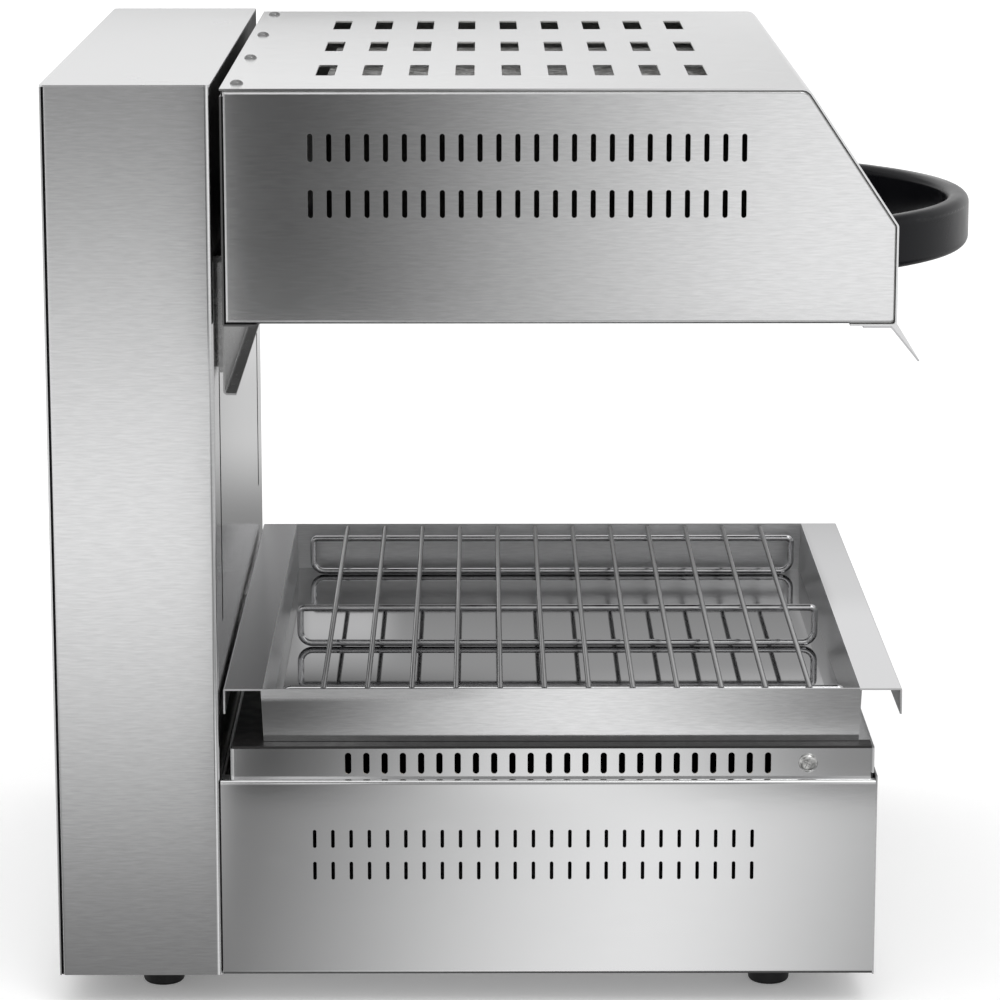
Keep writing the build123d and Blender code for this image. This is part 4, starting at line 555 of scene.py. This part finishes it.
def tray_steel():
    """Mirror-polished floor, rougher walls and rear flange, brushed outside; the floor and flanges take
    painted reflection tones.
    """
    above = (0.0, (tray_low[1] + tray_high[1]) / 2, tray_high[2] + LOOKOUT)
    material, tree, shader = new_material("tray_sheet", Metallic=1.0)
    grain = group_node(tree, brushing, Contrast=0.34)
    side = group_node(tree, facing, Centre=above)
    inside = sums(tree, "MULTIPLY", side.outputs["Inside"], side.outputs["Up"])
    brushed = colour_mix(tree, 1.0, toned(STEEL), grain.outputs["Tone"], "MULTIPLY")
    place = add(tree, "ShaderNodeSeparateXYZ")
    tree.links.new(add(tree, "ShaderNodeTexCoord").outputs["Object"], place.inputs[0])
    rim = ramp(tree, place.outputs["Z"], tray_high[2] - RIM_START, tray_high[2] - RIM_END)
    rear = ramp(tree, place.outputs["Y"], *FLANGE_CHANGE)
    # The flanges' tones are painted reflection, darker towards the rear.
    flange = colour_mix(tree, rear, toned(FRONT_FLANGE_PAINTED_REFLECTION), toned(REAR_FLANGE_PAINTED_REFLECTION))
    tint = colour_mix(tree, inside, brushed, colour_mix(tree, rim, toned(TRAY_FLOOR_PAINTED_REFLECTION), flange))
    walls = sums(tree, "MULTIPLY_ADD", side.outputs["Inside"], WALL_ROUGHER, OUTER_ROUGHNESS)
    ends = sums(tree, "MULTIPLY_ADD", sums(tree, "MULTIPLY", rim, rear), REAR_ROUGHER, walls)
    feed(tree, shader, Base_Color=tint, Roughness=sums(tree, "MULTIPLY_ADD", inside, FLOOR_SMOOTHER, ends),
         Normal=bumped(tree, grain.outputs["Height"], 0.06, 0.00005))
    return material


finish_nodes(tray_steel(), "drip_tray")

# ---------------------------------------- wire rack
# Twelve cross wires on three upright loops of thicker wire, all chromium plated, with no weld beads drawn.
# A wire's tone falls off where it turns away from the eye.  That stands in for dark surroundings, which
# chrome would mirror and this white room lacks, and it was fitted to the photograph's one view.
WIRE_EDGE_PAINTED_REFLECTION = (0.06, 0.06, 0.062)


def chrome():
    """Bright chromium on drawn wire, with faint drawing lines and dulled patches, and a painted dark
    reflection where the wire turns from the eye.
    """
    material, tree, shader = new_material("rack_chrome", Metallic=1.0)
    place = add(tree, "ShaderNodeTexCoord").outputs["Object"]
    dulled = noise(tree, place, 60.0, 4.0, 0.6)
    bright = colour_mix(tree, dulled, (0.62, 0.62, 0.63, 1), (0.86, 0.86, 0.87, 1))
    turned_away = feed(tree, add(tree, "ShaderNodeLayerWeight"), Blend=0.5).outputs["Facing"]
    tint = colour_mix(tree, ramp(tree, turned_away, 0.5, 0.9), bright, toned(WIRE_EDGE_PAINTED_REFLECTION))
    feed(tree, shader, Base_Color=tint, Roughness=ramp(tree, dulled, 0.3, 0.75, 0.05, 0.2),
         Normal=bumped(tree, noise(tree, place, 700.0), 0.05, 0.00005))
    return material


finish_nodes(chrome(), "rack_loops", "rack_crosswires")

# ---------------------------------------- hood: cover, side pans, back, skirt and lip
# The cover is one sheet wrapped over the top, brow and front; a brushed pan with vent slots closes each side.
# A skirt hangs behind and a drip edge in front.  Inside, the cover and pans keep the mill's grey.
hood_middle = middle_of("hood_cover")
MILL_INSIDE = (0.5, 0.5, 0.49)
side_sheet = sheet_steel("hood_side_sheet", hood_middle, lining_and_shade=MILL_INSIDE)
finish_nodes(side_sheet, "hood_side_left", "hood_side_right")
cover_sheet = sheet_steel("hood_cover_sheet", hood_middle, finish=0.22, contrast=0.16, lining_and_shade=MILL_INSIDE)
finish_nodes(cover_sheet, "hood_cover")
# The hood's back is dark grey as painted shade, so the gap between hood and column stays dark.
finish_nodes(sheet_steel("hood_rear_sheet", hood_middle, (0.2, 0.2, 0.2), 0.35), "hood_back")
finish_nodes(plated_steel("skirt_sheet", (0.5, 0.5, 0.5), 0.34), "rear_skirt")
finish_nodes(sheet_steel("lip_sheet", hood_middle, (0.6, 0.6, 0.61), 0.22, contrast=0.04), "front_lip")

# ---------------------------------------- handle
# A bow moulded in black heat-proof plastic, with an index below a real plastic's, to keep its gloss low.
# Screws from inside the hood's front hold its two ends.
HANDLE_BLACK = (0.007, 0.0072, 0.0088)
finish_nodes(moulded("handle_plastic", HANDLE_BLACK, 0.25, 1600.0, 0.00003, index=1.27), "handle")

# ---------------------------------------- heating gear
# Two sheathed hairpin elements hang under a bright reflector, below a fibre blanket and its bright shield.
# The tubes are oxidised by heat, and their ends sit in white ceramic beads.


def oxidised_tube():
    """Heat-blued sheath: brown and violet patches over a dark tube."""
    material, tree, shader = new_material("element_sheath", Metallic=0.8)
    place = add(tree, "ShaderNodeTexCoord").outputs["Object"]
    patches = noise(tree, place, 55.0, 4.0, 0.6)
    tint = colour_mix(tree, ramp(tree, patches, 0.35, 0.65), (0.05, 0.035, 0.03, 1), (0.14, 0.12, 0.15, 1))
    feed(tree, shader, Base_Color=tint, Roughness=ramp(tree, patches, 0.3, 0.7, 0.35, 0.55),
         Normal=bumped(tree, noise(tree, place, 600.0, 3.0), 0.15, 0.0001))
    return material


def fibre():
    """Matted rock wool, rough and uneven, near black as painted shade inside the hood."""
    material, tree, shader = new_material("fibre_blanket", Metallic=0.0)
    place = add(tree, "ShaderNodeTexCoord").outputs["Object"]
    mat = noise(tree, place, 180.0, 6.0, 0.75)
    tint = colour_mix(tree, mat, (0.012, 0.011, 0.01, 1), (0.045, 0.042, 0.038, 1))
    feed(tree, shader, Base_Color=tint, Roughness=ramp(tree, mat, 0.2, 0.8, 0.8, 0.98),
         Normal=bumped(tree, mat, 0.8, 0.001))
    return material


def foil():
    """Thin aluminised sheet, crumpled over the blanket, so that it glints in small facets."""
    material, tree, shader = new_material("foil_shield", Metallic=0.3)
    place = add(tree, "ShaderNodeTexCoord").outputs["Object"]
    creases = add(tree, "ShaderNodeTexVoronoi", feature="F1", distance="CHEBYCHEV")
    feed(tree, creases, Vector=place, Scale=85.0)
    dust = noise(tree, place, 130.0, 4.0, 0.7)
    tint = colour_mix(tree, ramp(tree, dust, 0.35, 0.65), (0.35, 0.34, 0.33, 1), (0.9, 0.9, 0.89, 1))
    feed(tree, shader, Base_Color=tint, Roughness=ramp(tree, dust, 0.3, 0.7, 0.45, 0.25),
         Normal=bumped(tree, creases.outputs["Distance"], 0.9, 0.004))
    return material


def glazed_ceramic():
    """Off-white steatite with a thin glaze and small specks."""
    material, tree, shader = new_material("white_ceramic", Metallic=0.0)
    place = add(tree, "ShaderNodeTexCoord").outputs["Object"]
    specks = ramp(tree, noise(tree, place, 520.0, 2.0), 0.68, 0.74)
    tint = colour_mix(tree, specks, (0.68, 0.66, 0.6, 1), (0.35, 0.3, 0.24, 1))
    feed(tree, shader, Base_Color=tint, Roughness=ramp(tree, noise(tree, place, 40.0), 0.3, 0.7, 0.25, 0.4),
         Normal=bumped(tree, noise(tree, place, 300.0), 0.08, 0.0001))
    return material


finish_nodes(oxidised_tube(), "heating_elements")
finish_nodes(fibre(), "insulation")
finish_nodes(glazed_ceramic(), "heater_terminals", "terminal_block")
finish_nodes(plated_steel("bright_reflector", (0.7, 0.7, 0.7), 0.16), "reflector")
finish_nodes(foil(), "heat_shield")
finish_nodes(plated_steel("hanger_sheet", (0.34, 0.33, 0.31), 0.4), "heater_hangers")

# ---------------------------------------- controls
# The front panel carries a fluted thermostat knob, two pilot lamps and a rocker switch.
# The panel is brushed sheet, the knob and bezel are moulded, and the lenses are tinted plastic.
PANEL_BRUSHING = (105, 210, 950)
panel_middle = middle_of("control_panel", "base_shell")
finish_nodes(sheet_steel("panel_sheet", panel_middle, streaks=PANEL_BRUSHING), "control_panel")
black_moulding = moulded("control_plastic", (0.014, 0.014, 0.015), 0.36)
finish_nodes(black_moulding, "knob", "switch_housing", "energy_regulator")
finish_nodes(bright_zinc, "regulator_spindle")
finish_nodes(moulded("rocker_red", (0.42, 0.012, 0.012), 0.28), "rocker")


def lens(name, colour):
    """Tinted lens, ribbed behind, under a clear coat."""
    material, tree, shader = new_material(name, Metallic=0.0, IOR=1.49)
    place = add(tree, "ShaderNodeTexCoord").outputs["Object"]
    ribs = add(tree, "ShaderNodeTexWave", wave_type="RINGS", rings_direction="Y")
    feed(tree, ribs, Vector=place, Scale=120.0, Distortion=1.0)
    rib = ribs.outputs["Fac"]
    tint = colour_mix(tree, rib, toned(colour, 0.7), toned(colour))
    feed(tree, shader, Base_Color=tint, Roughness=ramp(tree, rib, 0, 1, 0.12, 0.2),
         Coat_Weight=ramp(tree, rib, 0, 1, 0.3, 0.5), Normal=bumped(tree, rib, 0.15, 0.0002))
    return material


finish_nodes(lens("green_lens", (0.03, 0.42, 0.1)), "power_lamp")
finish_nodes(lens("amber_lens", (0.75, 0.27, 0.02)), "heat_lamp")

# ---------------------------------------- room: floor, studio cards, light and camera
# A white studio floor that keeps the object's shadow, and a white surround.
# A toned card stands beside each flank, and only gloss sees it.  The cards' bands, and the tones that the
# world shows to gloss, are fitted to the sheen in the photograph, from its one view.
FLOOR_HALF = 14.0
FLOOR_WHITES = ((0.955, 0.955, 0.955, 1), (0.96, 0.96, 0.96, 1))
FLOOR_LIFT = 0.18
CARD_X = 0.55
CARD_HALF = 0.9
CARD_BOTTOM = -0.4
CARD_TOP = 0.56

# How far the bands lean along the card with height, and each band's smooth steps:
# from where to where in metres, then the tones at both.
LEAN = 0.18
HOOD_STEP = (0.243, -0.157, 0.08, 0.97)
TRAY_RISE = (0.168, -0.037, 0.08, 0.93)
TRAY_FALL = (-0.037, -0.227, 0.0, 0.68)
BASE_RISE = (0.222, -0.108, 0.17, 0.97)
BASE_FALL = (-0.088, -0.348, 0.0, 0.66)
COLUMN_RISE = (-0.13, 0.21, 0.2, 0.91)
COLUMN_FALL = (0.2, 0.53, 0.0, 0.62)
OPEN_STEP = (0.2, 0.3, 0.26, 0.55)
# heights between which one band gives way to the next, and the line along the card where the column's starts
TRAY_EDGE = (0.02, 0.03)
OPEN_EDGE = (0.065, 0.09)
HOOD_EDGE = (0.3, 0.325)
TOP_EDGE = (0.53, 0.56)
COLUMN_EDGE = (0.177, 0.181)
# the light patch that the column's front mirrors, and the lighter end beyond the front
PATCH_SIDES = ((0.07, 0.105), (0.158, 0.142))
PATCH_HEIGHTS = ((0.31, 0.27), (0.1, 0.17))
PATCH_TONE = 0.4
END_SLANT = 0.45
END_EDGE = (-0.094, -0.108)
END_TONE = 0.3


def flat_piece(name, corners, material):
    """One four-sided face, which is part of the room."""
    mesh = bpy.data.meshes.new(name)
    mesh.from_pydata(corners, [], [(0, 1, 2, 3)])
    mesh.materials.append(material)
    piece = bpy.data.objects.new(name, mesh)
    scene.collection.objects.link(piece)
    return piece


def floor_paint():
    """Matt white, faintly uneven, and a little lighter to the eye than to the object."""
    material, tree, shader = new_material("floor_paint", Metallic=0.0, Roughness=1.0)
    shader.inputs["Specular IOR Level"].default_value = 0.0
    cloud = noise(tree, add(tree, "ShaderNodeTexCoord").outputs["Object"], 3.0)
    feed(tree, shader, Base_Color=colour_mix(tree, cloud, *FLOOR_WHITES))
    seen_straight = add(tree, "ShaderNodeLightPath").outputs["Is Camera Ray"]
    lift = add(tree, "ShaderNodeEmission")
    tree.links.new(sums(tree, "MULTIPLY", seen_straight, FLOOR_LIFT), lift.inputs["Strength"])
    both = add(tree, "ShaderNodeAddShader")
    tree.links.new(shader.outputs[0], both.inputs[0])
    tree.links.new(lift.outputs[0], both.inputs[1])
    tree.links.new(both.outputs[0], tree.nodes["Material Output"].inputs["Surface"])
    return material


def tone_mix(tree, factor, first, second):
    """The tone between two, by a factor."""
    return feed(tree, add(tree, "ShaderNodeMix"), Factor=factor, A=first, B=second).outputs["Result"]


def product(tree, *tones):
    """Tones multiplied together, the last two first."""
    result = tones[-1]
    for tone in reversed(tones[:-1]):
        result = sums(tree, "MULTIPLY", tone, result)
    return result


def card_paint():
    """Tones of the studio that each flank mirrors, by place on the card: Y along it and Z up it."""
    material = bpy.data.materials.new("studio_card")
    material.use_nodes = True
    tree = material.node_tree
    tree.nodes.remove(tree.nodes["Principled BSDF"])
    axes = add(tree, "ShaderNodeSeparateXYZ")
    tree.links.new(add(tree, "ShaderNodeTexCoord").outputs["Object"], axes.inputs[0])
    side = axes.outputs["Y"]
    up = axes.outputs["Z"]
    along = sums(tree, "MULTIPLY_ADD", up, LEAN, side)

    def rise_and_fall(value, rise, fall):
        return sums(tree, "SUBTRACT", ramp(tree, value, *rise), ramp(tree, value, *fall))

    across_patch = product(tree, *(ramp(tree, side, *edge) for edge in PATCH_SIDES))
    up_patch = product(tree, *(ramp(tree, up, *edge) for edge in PATCH_HEIGHTS))
    patch = product(tree, across_patch, up_patch, PATCH_TONE)
    slant = sums(tree, "MULTIPLY_ADD", up, END_SLANT, side)
    ends = sums(tree, "MULTIPLY_ADD", ramp(tree, slant, *END_EDGE), END_TONE, patch)
    bands = (
        (TRAY_EDGE, rise_and_fall(along, TRAY_RISE, TRAY_FALL)),
        (OPEN_EDGE, sums(tree, "ADD", ends, ramp(tree, up, *OPEN_STEP))),
        (HOOD_EDGE, ramp(tree, along, *HOOD_STEP)),
    )
    tone = rise_and_fall(along, BASE_RISE, BASE_FALL)
    for edge, band in bands:
        tone = tone_mix(tree, ramp(tree, up, *edge), tone, band)
    tone = tone_mix(tree, ramp(tree, side, *COLUMN_EDGE), tone, rise_and_fall(up, COLUMN_RISE, COLUMN_FALL))
    tone = tone_mix(tree, ramp(tree, up, *TOP_EDGE), tone, 1.0)
    glow = add(tree, "ShaderNodeEmission")
    tree.links.new(tone, glow.inputs["Color"])
    tree.links.new(glow.outputs[0], tree.nodes["Material Output"].inputs["Surface"])
    return material


floor_corners = [(x * FLOOR_HALF, y * FLOOR_HALF, 0) for x, y in ((-1, -1), (1, -1), (1, 1), (-1, 1))]
floor = flat_piece("floor", floor_corners, floor_paint())
floor.visible_glossy = False
card_tones = card_paint()
card_edge = (
    (CARD_HALF, CARD_BOTTOM),
    (-CARD_HALF, CARD_BOTTOM),
    (-CARD_HALF, CARD_TOP),
    (CARD_HALF, CARD_TOP),
)
for side, label in ((-1, "left"), (1, "right")):
    card = flat_piece("studio_card_" + label, [(side * CARD_X, y, z) for y, z in card_edge], card_tones)
    card.visible_camera = False
    card.visible_diffuse = False
    card.visible_shadow = False
    card.visible_transmission = False

# Steps by the heading that gloss looks in, from -1 to 1 along each axis.
WINGS = (0.03, -0.11, 0.97, 0.72)
GROUND_NEAR = (0.0, -0.2, 0.0, 0.2)
GROUND_FAR = (-0.35, -0.6, 0.0, 0.7)
FLAG_RISE = (0.45, 0.58, 0.0, 0.42)
FLAG_FALL = (0.68, 0.82, 1.0, 0.0)
MATT_LIGHT = 0.96


def studio_world():
    """White to the eye, even to matt surfaces, and toned by heading to gloss."""
    world = bpy.data.worlds.new("studio")
    world.use_nodes = True
    sky = world.node_tree
    path = add(sky, "ShaderNodeLightPath")
    heading = add(sky, "ShaderNodeSeparateXYZ")
    sky.links.new(add(sky, "ShaderNodeTexCoord").outputs["Generated"], heading.inputs[0])
    level = heading.outputs["Z"]
    ground = sums(sky, "ADD", ramp(sky, level, *GROUND_NEAR), ramp(sky, level, *GROUND_FAR))
    flag = product(sky, ramp(sky, level, *FLAG_RISE), ramp(sky, level, *FLAG_FALL))
    lit = product(sky, sums(sky, "SUBTRACT", 1.0, flag), sums(sky, "SUBTRACT", 1.0, ground))
    mirrored = product(sky, ramp(sky, heading.outputs["Y"], *WINGS), lit)
    studio = tone_mix(sky, path.outputs["Is Glossy Ray"], MATT_LIGHT, mirrored)
    seen = sums(sky, "MAXIMUM", path.outputs["Is Camera Ray"], path.outputs["Is Transmission Ray"])
    background = sky.nodes["Background"]
    sky.links.new(tone_mix(sky, seen, studio, 1.0), background.inputs["Color"])
    background.inputs["Strength"].default_value = 1.0
    return world


scene.world = studio_world()

KEY_STRENGTH = 0.3
KEY_SPREAD = 25
KEY_TILT = 32
KEY_TURN = -60
key = bpy.data.objects.new("key", bpy.data.lights.new("key", "SUN"))
key.data.energy = KEY_STRENGTH
key.data.angle = math.radians(KEY_SPREAD)
key.rotation_euler = Euler((math.radians(KEY_TILT), 0, math.radians(KEY_TURN)))
scene.collection.objects.link(key)

# The camera stands off the left flank, at the photograph's viewing angle.
CAMERA_PLACE = (-2.3352, 0.0163, 0.7391)
CAMERA_DIP = 12.112
CAMERA_YAW = 0.254
CAMERA_LENS = 144.24
SENSOR_WIDTH = 36
camera_data = bpy.data.cameras.new("camera")
camera_data.sensor_width = SENSOR_WIDTH
camera_data.sensor_fit = "HORIZONTAL"
camera_data.lens = CAMERA_LENS
camera = bpy.data.objects.new("camera", camera_data)
camera.location = CAMERA_PLACE
camera.rotation_euler = Euler((math.radians(90 - CAMERA_DIP), 0, math.radians(-90 - CAMERA_YAW)))
scene.collection.objects.link(camera)
scene.camera = camera
scene.view_settings.view_transform = "Standard"
